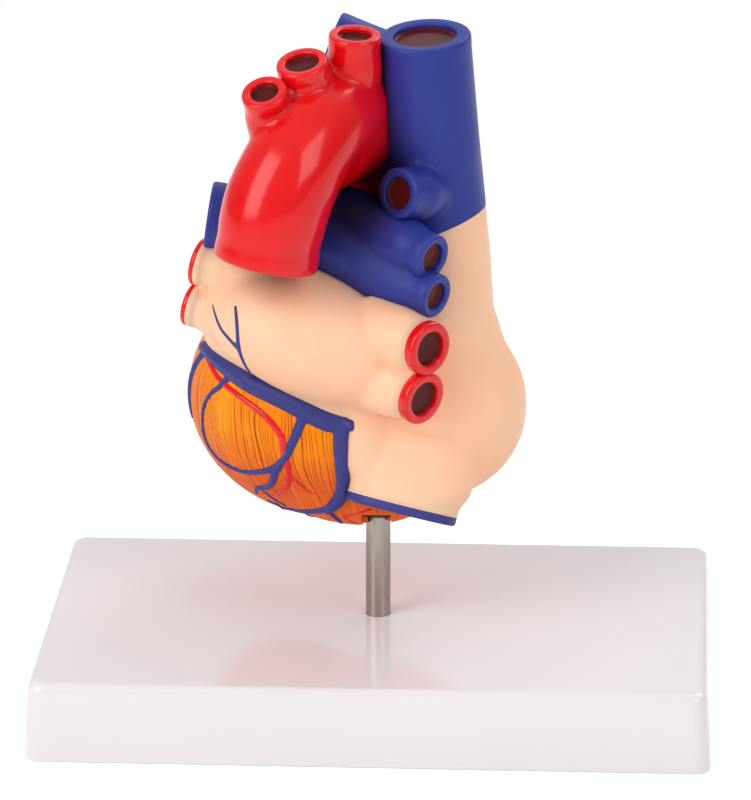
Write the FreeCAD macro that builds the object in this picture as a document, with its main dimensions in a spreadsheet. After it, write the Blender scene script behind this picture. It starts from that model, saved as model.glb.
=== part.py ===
"""Two-part human heart model on a stand.

The heart turns with a steel rod in a moulded base and lifts off the rod. Its front wall pulls off
forwards and uncovers the two lower chambers. Millimetres. The origin is the middle of the base's
underside, +X is the heart's right side, +Y its front and +Z is up.
"""
import FreeCAD
import Part
import Sketcher
import os
from FreeCAD import Placement, Rotation, Vector

doc = FreeCAD.newDocument("heart_model")

# ----------------------------------------------------------------------------------------------------
# Driving dimensions
# ----------------------------------------------------------------------------------------------------

SIZES = [
    # stand
    ("base_length", 160, "base, left to right at its upper edge"),
    ("base_width", 110, "base, front to back at its upper edge"),
    ("base_height", 19, "base"),
    ("base_taper", 3, "degrees that the base's sides lean outwards"),
    ("base_corner", 4, "radius of the base's upright edges"),
    ("base_edge", 2, "radius round the base's top face"),
    ("base_wall", 3, "side walls and top of the hollow base"),
    ("boss_radius", 9, "boss that carries the rod"),
    ("boss_foot", 6, "height of the boss's lower face"),
    ("post_radius", 4, "posts for the cover's screws"),
    ("post_inset", 12, "post centres from the base's upper edges"),
    ("plate_thick", 2, "cover under the base"),
    ("plate_gap", 0.2, "gap round the cover"),
    ("screw_radius", 1.25, "cover screw shank"),
    ("screw_head_radius", 2.5, "cover screw head"),
    ("screw_head_thick", 1.2, "cover screw head"),
    ("screw_length", 8, "cover screw shank below its head"),
    ("rod_radius", 3, "steel rod"),
    ("rod_exposed", 24, "rod between the base and the heart"),
    ("rod_in_heart", 15, "rod inside the heart's socket"),
    ("rod_step", 4, "depth in the base of the rod's shoulder"),
    ("journal_radius", 2, "thin end of the rod that turns in the boss"),
    ("running_gap", 0.05, "gap round the rod in the base and in the socket"),
    ("end_play", 0.1, "play of the rod along its axis"),
    ("washer_radius", 5, "washer under the boss"),
    ("washer_thick", 0.8, "washer under the boss"),
    ("rod_screw_radius", 1.2, "screw in the rod's lower end"),
    ("rod_screw_length", 7, "shank of that screw"),
    ("rod_screw_head_radius", 2.6, "head of that screw"),
    ("rod_screw_head_thick", 1.6, "head of that screw"),
    # heart
    ("heart_scale", 1, "scale of every anatomical point and radius"),
    ("socket_wall", 2, "bush round the rod"),
    ("socket_recess", 2, "depth of the bush inside the heart"),
    ("socket_rim_gap", 0.4, "gap round the rod where it enters the heart"),
    ("split_depth", 18, "distance of the front wall's joint face from the rod's axis"),
    ("split_height", 45, "upper edge of the front wall above the heart's foot"),
    ("split_gap", 0.3, "gap between the front wall and the heart"),
    ("magnet_radius", 2, "round holding magnets"),
    ("magnet_thick", 2, "round holding magnets"),
    ("pin_radius", 1.2, "locating pins of the front wall"),
    ("pin_length", 3, "how far the pins stand out"),
    ("pin_gap", 0.3, "gap round a pin in the front wall"),
    ("vessel_wall", 2.2, "wall of the cut vessels at their ends"),
    ("caval_wall", 3.4, "wall of the upper great vein at its end"),
    ("plug_depth", 1.5, "depth of the dark plugs inside the cut vessels"),
    ("plug_thick", 1.2, "dark plugs"),
    ("vessel_lift", 0.6, "how far the middle line of a coronary vessel stands out of the surface"),
    ("leaflet_thick", 1, "valve leaflets"),
    ("valve_height", 8, "valve funnel"),
    ("cord_radius", 0.45, "tendinous cords"),
]

# Egg-shaped masses: centre x, y and height above the heart's foot, then half-sizes along x, y and z,
# then the tilt in degrees about the y axis. The chambers' y counts from the joint face, as that of
# everything inside them does.
MASSES = {
    "ventricle_main": ((-11, 15, 28), (37, 33, 31), 0),
    "ventricle_floor": ((-3, 9, 19), (28, 21, 20.5), 0),
    "ventricle_apex": ((-24, 30, 14), (19, 20, 17), 0),
    "left_chamber": ((-27, -5, 31), (12, 14, 22), 0),
    "right_chamber": ((6, 4, 28), (13, 14, 22), 0),
    "left_atrium_body": ((-14.5, -12, 50.3), (28, 18, 18.5), 20),
    "right_atrium_body": ((13, -0.5, 29), (23, 17.5, 25), 0),
    "right_atrium_floor": ((5, -8, 25), (13, 11, 14), 0),
    "left_auricle_body": ((-35, 11, 57), (9.5, 8, 7.5), 0),
    "right_auricle_body": ((13, 21, 58), (12, 7, 9), 0),
}

# Vessels: points on the centre line from the open end inwards, each x, y, height above the heart's
# foot and radius.
VESSELS = {
    "aortic_arch": [
        (-25.2, -26, 71.5, 12.4),
        (-22.4, -25, 85.4, 12.9),
        (-17.3, -20, 97.4, 12.6),
        (-9.1, -9, 104.1, 12),
        (-1.5, 5, 102, 11.5),
        (2, 17, 92, 11.5),
        (0, 20, 75, 11.5),
        (-3, 18, 56, 11.5),
    ],
    "left_subclavian_artery": [(-25.5, -22, 112, 5.4), (-20, -20, 100, 5.8)],
    "left_carotid_artery": [(-17.1, -15, 117.5, 6), (-13.5, -13, 104, 6.2)],
    "innominate_artery": [(-5.4, -6, 121.7, 6), (-5, -4, 106, 6.4)],
    "pulmonary_trunk": [(-16, -4, 77, 9.5), (-20, 8, 71, 10.5), (-21, 20, 60, 11.5), (-19, 26, 48, 12.5)],
    "left_pulmonary_artery": [(-39.3, -8, 77.9, 8.2), (-28, -4, 77.5, 9), (-16, 0, 76, 9)],
    "right_upper_pulmonary_artery": [(13.7, -20, 71.6, 5.5), (-3, -6, 75, 8), (-16, 0, 77, 9)],
    "right_lower_pulmonary_artery": [(14.5, -21, 62.4, 5.4), (4, -12, 66.5, 6.6), (-6, -6, 72, 7)],
    "superior_vena_cava": [(11, 0, 120.6, 10.9), (12.4, 3, 97, 11.3), (14, 6, 73, 11.8)],
    "azygos_vein": [(5.1, -14, 86.1, 6), (13.9, -4, 84.3, 6.2)],
    "left_brachiocephalic_vein": [(-9.3, 8, 116.5, 6.3), (10.8, 6, 109.2, 6.5)],
    "right_atrium_neck": [(14, 6, 73, 11.8), (14.5, 5, 60, 12.5), (14, 3, 46, 14)],
    "inferior_vena_cava": [(6.6, -14.5, 6.5, 13), (10.5, -9, 24, 14.5)],
    "left_upper_pulmonary_vein": [(-44.5, -9, 68, 5.6), (-35, -12, 65.5, 6.5), (-25, -12, 62, 8)],
    "left_lower_pulmonary_vein": [(-46.5, -11, 58, 5.6), (-37, -13, 55.5, 6.5), (-27, -13, 53, 8)],
    "right_upper_pulmonary_vein": [(13, -29, 52.5, 6.4), (-4, -18, 53, 9)],
    "right_lower_pulmonary_vein": [(11.5, -28, 39.9, 6.4), (-4, -18, 42, 9)],
}

# The lower great vein is flatter than round: its depth as a share of its width.
FLATNESS = {"inferior_vena_cava": 0.62}

# Vessels that lie on the heart's surface: points x and height above the heart's foot along the back
# or the front, and one radius for the whole vessel.
SURFACE_VESSELS = {
    "coronary_sinus": ("back", 2.6, [(-40, 44), (-34, 40), (-26, 36.5), (-17.5, 33), (-8.5, 28)]),
    "middle_cardiac_vein": ("back", 2, [(-8, 24), (-8, 18), (-8.5, 11.5), (-12.5, 5)]),
    "posterior_ventricular_vein": (
        "back",
        1,
        [(-36, 36.5), (-40.5, 31), (-42, 25), (-40, 17.5), (-34.5, 14), (-27.5, 15.5), (-22, 19), (-19, 27)],
    ),
    "posterior_artery": ("back", 0.9, [(-38, 37), (-32, 33.5), (-26, 30), (-22.3, 25), (-21, 19.5)]),
    "front_descending_artery": ("front", 1.2, [(-17, 42), (-15, 32), (-17, 21), (-23, 10)]),
    "right_coronary_artery": ("front", 1.2, [(6, 42), (13, 37), (18, 29), (20, 21)]),
    "great_cardiac_vein": ("front", 1.2, [(-21, 42), (-20, 32), (-22, 22), (-27, 13)]),
}

# Valves: centre with its y from the joint face, the direction that blood leaves them, upper and lower
# radius.
VALVES = {
    "mitral_valve": ((-26, -11, 47), (-0.05, 0.35, -1), 9, 4.5),
    "tricuspid_valve": ((8, -5, 42), (-0.1, 0.6, -1), 9, 4.5),
}

# Papillary muscles: from a point inside the chamber's wall to the tip, y from the joint face, and the
# radius at each end.
PAPILLARY_MUSCLES = {
    "left_outer_muscle": [(-36, -11, 14, 4), (-32, -8.5, 25, 1.6)],
    "left_inner_muscle": [(-20, -12, 12, 4), (-22.5, -9, 24, 1.6)],
    "right_outer_muscle": [(14, -4, 9, 3.6), (10.5, -4, 20, 1.5)],
    "right_inner_muscle": [(-2, -5, 12, 3.6), (2.5, -4.5, 21, 1.5)],
}
CORD_FANS = {
    "left_outer_muscle": "mitral_valve",
    "left_inner_muscle": "mitral_valve",
    "right_outer_muscle": "tricuspid_valve",
    "right_inner_muscle": "tricuspid_valve",
}
CORDS_PER_MUSCLE = 3
CORD_FAN_STEP = 40  # degrees round the valve from one cord of a muscle to the next
CORD_RIM_SHARE = 0.82  # how far down the valve's funnel the cords join it

# Holding magnets and locating pins on the joint face: x and height above the heart's foot.
MAGNET_PLACES = [(-43, 30), (22.2, 26), (-11.2, 5)]
PIN_PLACES = [(-38, 13.5), (-11.2, 30)]

MARGIN = 100  # reach of helper solids past the heart
ROD_ENTRY_REACH = 10  # how far the rod's entry hole starts below the heart
DRAFT_SIDE = 18  # side of a sketched square until its formulas are bound
TOUCH = 0.01  # two heights closer than this are the same

sheet = doc.addObject("Spreadsheet::Sheet", "sizes")
next_row = 1


def put(alias, value, note=""):
    """Writes one named value on the sheet's next row."""
    global next_row
    sheet.set(f"A{next_row}", note or alias)
    sheet.set(f"B{next_row}", str(value))
    sheet.setAlias(f"B{next_row}", alias)
    next_row += 1


def put_point(name, point):
    for axis, value in zip(("x", "y", "z"), point):
        put(f"{name}_{axis}", value)


for alias, value, note in SIZES:
    put(alias, value, note)
for name, (centre, half_sizes, tilt) in MASSES.items():
    put_point(name, centre)
    put_point(f"{name}_half", half_sizes)
    put(f"{name}_tilt", tilt)
for name, route in [*VESSELS.items(), *PAPILLARY_MUSCLES.items()]:
    for index, (*point, radius) in enumerate(route):
        put_point(f"{name}_{index}", point)
        put(f"{name}_{index}_radius", radius)
for name, (_, radius, _) in SURFACE_VESSELS.items():
    put(f"{name}_radius", radius)
for name, (centre, _, upper, lower) in VALVES.items():
    put_point(name, centre)
    put(f"{name}_upper", upper)
    put(f"{name}_lower", lower)
doc.recompute()


def size(alias):
    return float(sheet.get(alias))


HEART_FOOT = "sizes.base_height + sizes.rod_exposed"
heart_foot = size("base_height") + size("rod_exposed")
scale = size("heart_scale")


def heart_point(x, y, z):
    """A point given in the heart's own measures, in the frame of the whole model."""
    return Vector(x * scale, y * scale, heart_foot + z * scale)


def inner_point(x, y, z):
    """A point inside a chamber, its y measured from the joint face."""
    return heart_point(x, size("split_depth") + y, z)


def bind(thing, **formulas):
    """Binds properties of an object to formulas of the sheet's cells."""
    for property_name, formula in formulas.items():
        thing.setExpression(property_name.replace("__", "."), formula)
    return thing


# ----------------------------------------------------------------------------------------------------
# Tools for the moulded and turned pieces
# ----------------------------------------------------------------------------------------------------


def ground_sketch(body, name, height="0"):
    """A sketch parallel to the body's own ground plane, at a height given as a formula."""
    sketch = body.newObject("Sketcher::SketchObject", name)
    ground = next(item for item in body.Origin.OriginFeatures if item.Role == "XY_Plane")
    sketch.AttachmentSupport = [(ground, "")]
    sketch.MapMode = "FlatFace"
    sketch.setExpression("AttachmentOffset.Base.z", height)
    return sketch


def draw_rectangle(sketch, length, width):
    """A rectangle about the origin, its sides given as formulas."""
    half = DRAFT_SIDE / 2
    corners = [Vector(x, y, 0) for x, y in ((-half, -half), (half, -half), (half, half), (-half, half))]
    for index in range(4):
        sketch.addGeometry(Part.LineSegment(corners[index], corners[(index + 1) % 4]), False)
    for index in range(4):
        sketch.addConstraint(Sketcher.Constraint("Coincident", index, 2, (index + 1) % 4, 1))
    sketch.addConstraint(Sketcher.Constraint("Horizontal", 0))
    sketch.addConstraint(Sketcher.Constraint("Horizontal", 2))
    sketch.addConstraint(Sketcher.Constraint("Vertical", 1))
    sketch.addConstraint(Sketcher.Constraint("Vertical", 3))
    sketch.addConstraint(Sketcher.Constraint("Symmetric", 0, 1, 1, 2, -1, 1))
    sides = [
        sketch.addConstraint(Sketcher.Constraint("DistanceX", 0, 1, 0, 2, DRAFT_SIDE)),
        sketch.addConstraint(Sketcher.Constraint("DistanceY", 1, 1, 1, 2, DRAFT_SIDE)),
    ]
    for constraint, formula in zip(sides, (length, width)):
        sketch.setExpression(f"Constraints[{constraint}]", formula)


def draw_circles(sketch, centres, radius):
    """Circles of one radius; every centre is a pair of formulas."""
    for index, (x, y) in enumerate(centres):
        sketch.addGeometry(Part.Circle(Vector(index + 1, index + 1, 0), Vector(0, 0, 1), 1), False)
        across = sketch.addConstraint(Sketcher.Constraint("DistanceX", -1, 1, index, 3, index + 1))
        sketch.setExpression(f"Constraints[{across}]", x)
        along = sketch.addConstraint(Sketcher.Constraint("DistanceY", -1, 1, index, 3, index + 1))
        sketch.setExpression(f"Constraints[{along}]", y)
        width = sketch.addConstraint(Sketcher.Constraint("Radius", index, 1))
        sketch.setExpression(f"Constraints[{width}]", radius)


def extrude(body, kind, name, sketch, length, taper=None):
    """A Pad or a Pocket that rises from its sketch. Its effect on the volume is checked."""
    doc.recompute()
    before = body.Shape.Volume if body.Tip else 0
    feature = body.newObject(f"PartDesign::{kind}", name)
    feature.Profile = sketch
    feature.setExpression("Length", length)
    if kind == "Pocket":
        feature.Reversed = True
    if taper:
        feature.setExpression("TaperAngle", taper)
    body.Tip = feature
    doc.recompute()
    grown = feature.Shape.Volume - before
    assert grown > 0 if kind == "Pad" else grown < 0, f"{name} changes nothing"
    return feature


def round_edges(body, name, base, chosen, radius):
    """A fillet on the edges of a feature for which chosen(edge) is true."""
    names = [f"Edge{index + 1}" for index, edge in enumerate(base.Shape.Edges) if chosen(edge)]
    fillet = body.newObject("PartDesign::Fillet", name)
    fillet.Base = (base, names)
    fillet.setExpression("Radius", radius)
    body.Tip = fillet
    doc.recompute()
    return fillet


def cylinder(name, radius, height, foot="0", x="0", y="0"):
    """An upright cylinder, all its sizes given as formulas."""
    thing = doc.addObject("Part::Cylinder", name)
    return bind(thing, Radius=radius, Height=height, Placement__Base__z=foot, Placement__Base__x=x,
                Placement__Base__y=y)


def fuse(name, things):
    if len(things) == 1:
        return things[0]
    union = doc.addObject("Part::MultiFuse", name)
    union.Shapes = things
    doc.recompute()
    return union


def combine(kind, name, base, tool):
    """A Cut or a Common of two objects."""
    result = doc.addObject(f"Part::{kind}", name)
    result.Base = base
    result.Tool = tool
    doc.recompute()
    return result


def carve(name, base, tools):
    """Cuts from base every tool that meets it."""
    result = base
    for index, tool in enumerate(tools):
        if result.Shape.BoundBox.intersect(tool.Shape.BoundBox):
            result = combine("Cut", f"{name}_cut_{index}", result, tool)
            assert result.Shape.Solids, f"{tool.Name} takes all of {name}"
    return result


nodes = {}


def keep(name, thing):
    """Names an object as a finished sub-part."""
    thing.Label = name
    nodes[name] = thing
    return thing


# ----------------------------------------------------------------------------------------------------
# Stand
# ----------------------------------------------------------------------------------------------------

POST_X = "(sizes.base_length / 2 - sizes.post_inset)"
POST_Y = "(sizes.base_width / 2 - sizes.post_inset)"
POSTS = [(f"{x} * {POST_X}", f"{y} * {POST_Y}") for x, y in ((-1, -1), (1, -1), (1, 1), (-1, 1))]
CENTRE = [("0", "0")]
SPREAD = "sizes.base_height * tan(sizes.base_taper)"  # how far the sides lean out at the foot


def make_base_shell():
    """Hollow moulded base: a tapered block open below, with a boss for the rod and four screw posts."""
    body = doc.addObject("PartDesign::Body", "base_shell")
    outline = ground_sketch(body, "base_outline")
    draw_rectangle(outline, f"sizes.base_length + 2 * {SPREAD}", f"sizes.base_width + 2 * {SPREAD}")
    block = extrude(body, "Pad", "base_block", outline, "sizes.base_height", "-sizes.base_taper")
    top = size("base_height")
    sides = round_edges(body, "base_sides", block, lambda edge: edge.BoundBox.ZLength > top / 2,
                        "sizes.base_corner")
    round_edges(body, "base_top", sides, lambda edge: edge.BoundBox.ZMin > top - TOUCH, "sizes.base_edge")
    inner = ground_sketch(body, "base_inner")
    walls = "2 * sizes.base_wall"
    draw_rectangle(inner, f"sizes.base_length - {walls}", f"sizes.base_width - {walls}")
    inside = "sizes.base_height - sizes.base_wall"
    extrude(body, "Pocket", "base_hollow", inner, inside)
    boss = ground_sketch(body, "boss_outline", "sizes.boss_foot")
    draw_circles(boss, CENTRE, "sizes.boss_radius")
    extrude(body, "Pad", "boss", boss, f"{inside} - sizes.boss_foot")
    posts = ground_sketch(body, "post_outlines", "sizes.plate_thick")
    draw_circles(posts, POSTS, "sizes.post_radius")
    extrude(body, "Pad", "posts", posts, f"{inside} - sizes.plate_thick")
    pilots = ground_sketch(body, "pilot_outlines", "sizes.plate_thick")
    draw_circles(pilots, POSTS, "sizes.screw_radius")
    extrude(body, "Pocket", "pilots", pilots, "sizes.screw_length")
    bearing = ground_sketch(body, "bearing_outline", "sizes.boss_foot")
    draw_circles(bearing, CENTRE, "sizes.journal_radius + sizes.running_gap")
    extrude(body, "Pocket", "bearing", bearing, "sizes.base_height")
    mouth = ground_sketch(body, "mouth_outline", "sizes.base_height - sizes.rod_step")
    draw_circles(mouth, CENTRE, "sizes.rod_radius + sizes.running_gap")
    extrude(body, "Pocket", "mouth", mouth, "2 * sizes.rod_step")
    return keep("base_shell", body)


def make_base_plate():
    """Cover that closes the base from below, flush with its rim, with sunk holes for its screws."""
    body = doc.addObject("PartDesign::Body", "base_plate")
    outline = ground_sketch(body, "plate_outline")
    shrink = "2 * (sizes.base_wall + sizes.plate_gap)"
    draw_rectangle(outline, f"sizes.base_length - {shrink}", f"sizes.base_width - {shrink}")
    extrude(body, "Pad", "plate_sheet", outline, "sizes.plate_thick")
    heads = ground_sketch(body, "head_outlines")
    draw_circles(heads, POSTS, "sizes.screw_head_radius + sizes.plate_gap")
    extrude(body, "Pocket", "head_recesses", heads, "sizes.screw_head_thick")
    holes = ground_sketch(body, "hole_outlines")
    draw_circles(holes, POSTS, "sizes.screw_radius + sizes.plate_gap / 2")
    extrude(body, "Pocket", "screw_holes", holes, "sizes.plate_thick")
    return keep("base_plate", body)


def make_plate_screws():
    """Four screws that hold the cover; each is a head and a shank in one."""
    parts = []
    thick = "sizes.screw_head_thick"
    for index, (x, y) in enumerate(POSTS):
        parts.append(cylinder(f"screw_head_{index}", "sizes.screw_head_radius", thick, "0", x, y))
        parts.append(cylinder(f"screw_shank_{index}", "sizes.screw_radius", "sizes.screw_length", "0", x, y))
    return keep("plate_screws", fuse("plate_screw_group", parts))


def make_rod():
    """Steel rod with a thin journal in the boss, and the washer and screw that hold it from below."""
    shoulder = "sizes.base_height - sizes.rod_step"
    foot = "sizes.boss_foot - sizes.end_play"
    stem_length = "sizes.rod_step + sizes.rod_exposed + sizes.rod_in_heart"
    stem = cylinder("rod_stem", "sizes.rod_radius", stem_length, shoulder)
    journal = cylinder("rod_journal", "sizes.journal_radius", f"{shoulder} - ({foot})", foot)
    thread = cylinder("rod_thread", "sizes.rod_screw_radius", "sizes.rod_screw_length", foot)
    rod = combine("Cut", "rod", fuse("rod_round", [stem, journal]), thread)
    keep("support_rod", rod)
    washer_foot = f"{foot} - sizes.washer_thick"
    disc = cylinder("washer_disc", "sizes.washer_radius", "sizes.washer_thick", washer_foot)
    hole = cylinder("washer_hole", "sizes.rod_screw_radius", "sizes.washer_thick", washer_foot)
    keep("rod_washer", combine("Cut", "washer", disc, hole))
    head = cylinder("rod_screw_head", "sizes.rod_screw_head_radius", "sizes.rod_screw_head_thick",
                    f"{washer_foot} - sizes.rod_screw_head_thick")
    shank = cylinder("rod_screw_shank", "sizes.rod_screw_radius",
                     "sizes.washer_thick + sizes.rod_screw_length", washer_foot)
    keep("rod_screw", fuse("rod_screw_round", [head, shank]))


# ----------------------------------------------------------------------------------------------------
# Tools for the grown shapes
# ----------------------------------------------------------------------------------------------------


def mass(name):
    """An egg-shaped mass bound to the sheet. Its poles lie square to the joint face."""
    thing = doc.addObject("Part::Ellipsoid", name)
    poles_along_y = Rotation(Vector(1, 0, 0), 90)
    tilt = Rotation(Vector(0, 1, 0), size(f"{name}_tilt"))
    thing.Placement = Placement(Vector(0, 0, 0), tilt * poles_along_y)
    scaled = "sizes.heart_scale * sizes." + name
    bind(thing, Radius1=f"{scaled}_half_y", Radius2=f"{scaled}_half_x", Radius3=f"{scaled}_half_z")
    middle = f"{scaled}_y"
    if name.endswith("_chamber"):
        middle = f"sizes.heart_scale * (sizes.split_depth + sizes.{name}_y)"
    bind(thing, Placement__Base__x=f"{scaled}_x", Placement__Base__y=middle,
         Placement__Base__z=f"{HEART_FOOT} + {scaled}_z")
    doc.recompute()
    return thing


def route_of(name, count, place=heart_point):
    """Centre points and radii of a vessel from its open end, or of a papillary muscle from its foot."""
    points = [place(*(size(f"{name}_{index}_{axis}") for axis in "xyz")) for index in range(count)]
    radii = [size(f"{name}_{index}_radius") * scale for index in range(count)]
    return points, radii


def smooth_line(points):
    if len(points) == 2:
        return Part.LineSegment(points[0], points[1])
    curve = Part.BSplineCurve()
    curve.interpolate(points)
    return curve


def sections_along(points, radii):
    """Circles square to the smooth line through the points, without twist from one to the next."""
    curve = smooth_line(points)
    stops = [curve.parameter(point) for point in points]
    steps = []
    for index in range(len(stops) - 1):
        steps.append((stops[index], radii[index]))
        steps.append(((stops[index] + stops[index + 1]) / 2, (radii[index] + radii[index + 1]) / 2))
    steps.append((stops[-1], radii[-1]))
    across = Vector(0, 1, 0)
    wires = []
    for stop, radius in steps:
        ahead = curve.tangent(stop)[0]
        across = (across - ahead * across.dot(ahead)).normalize()
        circle = Part.Circle(Vector(0, 0, 0), Vector(0, 0, 1), radius).toShape()
        circle.Placement = Placement(curve.value(stop), Rotation(across, ahead.cross(across), ahead, "XYZ"))
        wires.append(Part.Wire([circle]))
    return wires


def tube(points, radii):
    """A smooth round solid along the points."""
    return Part.makeLoft(sections_along(points, radii), True, len(points) == 2)


def feature(name, shape):
    thing = doc.addObject("Part::Feature", name)
    thing.Shape = shape
    return thing


def flatten(shape, middle, share):
    """Squeezes a shape along y towards the plane through its middle."""
    matrix = FreeCAD.Matrix()
    matrix.move(Vector(0, -middle, 0))
    matrix.scale(1, share, 1)
    matrix.move(Vector(0, middle, 0))
    return shape.transformGeometry(matrix)


def vessel(name):
    """A great vessel as a solid tube."""
    points, radii = route_of(name, len(VESSELS[name]))
    shape = tube(points, radii)
    if name in FLATNESS:
        shape = flatten(shape, points[0].y, FLATNESS[name])
    return feature(f"{name}_tube", shape)


def end_cylinder(name, label, wall, deep, thick):
    """A cylinder of a given thickness in the open end of a vessel; its inner face lies at depth deep."""
    points, radii = route_of(name, len(VESSELS[name]))
    curve = smooth_line(points)
    inwards = curve.tangent(curve.parameter(points[0]))[0]
    start = points[0] + inwards * (deep - thick)
    shape = Part.makeCylinder(radii[0] - wall, thick, start, inwards)
    if name in FLATNESS:
        shape = flatten(shape, points[0].y, FLATNESS[name])
    return feature(f"{name}_{label}", shape)


# Open ends that carry a dark plug, and the wall that is left round the plug.
OPEN_ENDS = {
    name: "caval_wall" if name == "superior_vena_cava" else "vessel_wall"
    for name in VESSELS
    if name not in ("pulmonary_trunk", "right_atrium_neck")
}


# The recesses of vessels that lie against another one can reach into it.
LEANING = {
    "aorta": [
        "left_subclavian_artery", "left_carotid_artery", "innominate_artery", "left_brachiocephalic_vein",
    ],
}


def recess_of(name):
    deep = size("plug_depth") + size("plug_thick")
    return end_cylinder(name, "recess", size(OPEN_ENDS[name]), deep, 2 * deep)


def plug_of(name):
    deep = size("plug_depth") + size("plug_thick")
    return end_cylinder(name, "plug", size(OPEN_ENDS[name]), deep, size("plug_thick"))


def surface_point(things, side, x, height):
    """Where a line along y meets the things first from the back, or leaves them last in front."""
    start = heart_point(x, 0, height) - Vector(0, MARGIN, 0)
    line = Part.makeLine(start, start + Vector(0, 2 * MARGIN, 0))
    depths = [vertex.Point.y for thing in things for vertex in line.common(thing.Shape).Vertexes]
    depth = min(depths) if side == "back" else max(depths)
    return Vector(start.x, depth, start.z)


def surface_vessel(name, things):
    """A thin vessel whose centre line lies on the surface of what is under it."""
    side, _, places = SURFACE_VESSELS[name]
    lift = Vector(0, (-1 if side == "back" else 1) * size("vessel_lift"), 0)
    points = [surface_point(things, side, x, height) + lift for x, height in places]
    return feature(f"{name}_tube", tube(points, [size(f"{name}_radius") * scale] * len(points)))


# ----------------------------------------------------------------------------------------------------
# Heart
# ----------------------------------------------------------------------------------------------------


def front_region(name, gap):
    """The space in front of the joint face and below the front wall's upper edge, drawn in by a gap."""
    box = doc.addObject("Part::Box", name)
    split_height = f"{HEART_FOOT} + sizes.heart_scale * sizes.split_height - {gap}"
    joint_face = f"sizes.split_depth * sizes.heart_scale + {gap}"
    bind(box, Length=f"{2 * MARGIN}", Width=f"{MARGIN}", Height=split_height,
         Placement__Base__x=f"-{MARGIN}", Placement__Base__y=joint_face)
    doc.recompute()
    return box


def joint_face_cylinders(label, places, radius, depth, start):
    """Cylinders along y from the plane y = start, at places of the joint face."""
    solids = []
    for x, height in places:
        foot = heart_point(x, 0, height)
        foot.y = start
        solids.append(Part.makeCylinder(radius, depth, foot, Vector(0, 1, 0)))
    return feature(label, Part.makeCompound(solids))


def valve_axis(name):
    """Where a valve's axis starts, and the way that it points."""
    return inner_point(*(size(f"{name}_{axis}") for axis in "xyz")), Vector(*VALVES[name][1]).normalize()


def valve_cone(label, name, inset):
    """The solid cone of a valve funnel, its radii drawn in by an inset."""
    start, ahead = valve_axis(name)
    upper = size(f"{name}_upper") * scale - inset
    lower = size(f"{name}_lower") * scale - inset
    return feature(label, Part.makeCone(upper, lower, size("valve_height") * scale, start, ahead))


def make_socket():
    """Bush for the rod, set a little inside the heart, closed at its upper end."""
    foot = f"{HEART_FOOT} + sizes.socket_recess"
    outer = "sizes.rod_radius + sizes.running_gap + sizes.socket_wall"
    length = "sizes.rod_in_heart - sizes.socket_recess"
    bush = cylinder("socket_bush", outer, f"{length} + sizes.socket_wall", foot)
    bore = cylinder("socket_bore", "sizes.rod_radius + sizes.running_gap", length, foot)
    keep("rod_socket", combine("Cut", "socket", bush, bore))
    below = cylinder("rod_entry", "sizes.rod_radius + sizes.socket_rim_gap",
                     f"{ROD_ENTRY_REACH} + sizes.socket_recess", f"{HEART_FOOT} - {ROD_ENTRY_REACH}")
    return fuse("socket_room", [bush, below])


def make_ventricles():
    """Both ventricles' muscle, split into the heart's back part and the front wall that pulls off."""
    outer = fuse("ventricles_outer", [mass(f"ventricle_{part}") for part in ("main", "floor", "apex")])
    chambers = [mass("left_chamber"), mass("right_chamber")]
    room = make_socket()
    depth = size("magnet_thick")
    face = size("split_depth") * scale
    front_face = face + size("split_gap")
    radius = size("magnet_radius")
    magnets_back = joint_face_cylinders("magnets_back", MAGNET_PLACES, radius, depth, face - depth)
    magnets_front = joint_face_cylinders("magnets_front", MAGNET_PLACES, radius, depth, front_face)
    out = size("pin_length")
    pins = joint_face_cylinders("locating_pins", PIN_PLACES, size("pin_radius"), 2 * out, face - out)
    gap = size("pin_gap")
    pin_holes = joint_face_cylinders("pin_holes", PIN_PLACES, size("pin_radius") + gap, out + gap, face)
    back = carve("back", outer, [front_region("front_room", "0"), *chambers, room, magnets_back, pins])
    front = combine("Common", "front_mass", outer, front_region("front_region", "sizes.split_gap"))
    front = carve("front", front, [*chambers, magnets_front, pin_holes])
    for node in (magnets_back, magnets_front, pins):
        keep(node.Name, node)
    keep("ventricles_back", back)
    keep("ventricles_front", front)
    return outer, back, front


def make_great_vessels_and_atria(outer):
    """Every piece round the ventricles. An earlier piece keeps its shape, a later one is fitted to it."""
    plans = [
        ("aorta", ["aortic_arch"], []),
        ("left_subclavian_artery", ["left_subclavian_artery"], []),
        ("left_carotid_artery", ["left_carotid_artery"], []),
        ("innominate_artery", ["innominate_artery"], []),
        ("pulmonary_trunk", ["pulmonary_trunk"], []),
        ("left_pulmonary_artery", ["left_pulmonary_artery"], []),
        ("right_pulmonary_artery", ["right_upper_pulmonary_artery", "right_lower_pulmonary_artery"], []),
        ("superior_vena_cava", ["superior_vena_cava"], []),
        ("azygos_vein", ["azygos_vein"], []),
        ("left_brachiocephalic_vein", ["left_brachiocephalic_vein"], []),
        ("left_atrium", [], ["left_atrium_body"]),
        ("inferior_vena_cava", ["inferior_vena_cava"], []),
        ("right_atrium", ["right_atrium_neck"], ["right_atrium_body", "right_atrium_floor"]),
        ("left_pulmonary_veins", ["left_upper_pulmonary_vein", "left_lower_pulmonary_vein"], []),
        ("right_pulmonary_veins", ["right_upper_pulmonary_vein", "right_lower_pulmonary_vein"], []),
        ("left_auricle", [], ["left_auricle_body"]),
        ("right_auricle", [], ["right_auricle_body"]),
    ]
    earlier = [outer]
    for node, tubes, masses in plans:
        whole = fuse(f"{node}_whole", [vessel(name) for name in tubes] + [mass(name) for name in masses])
        recesses = [recess_of(name) for name in tubes + LEANING.get(node, []) if name in OPEN_ENDS]
        keep(node, carve(node, whole, earlier + recesses))
        earlier.append(whole)
    return earlier


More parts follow.
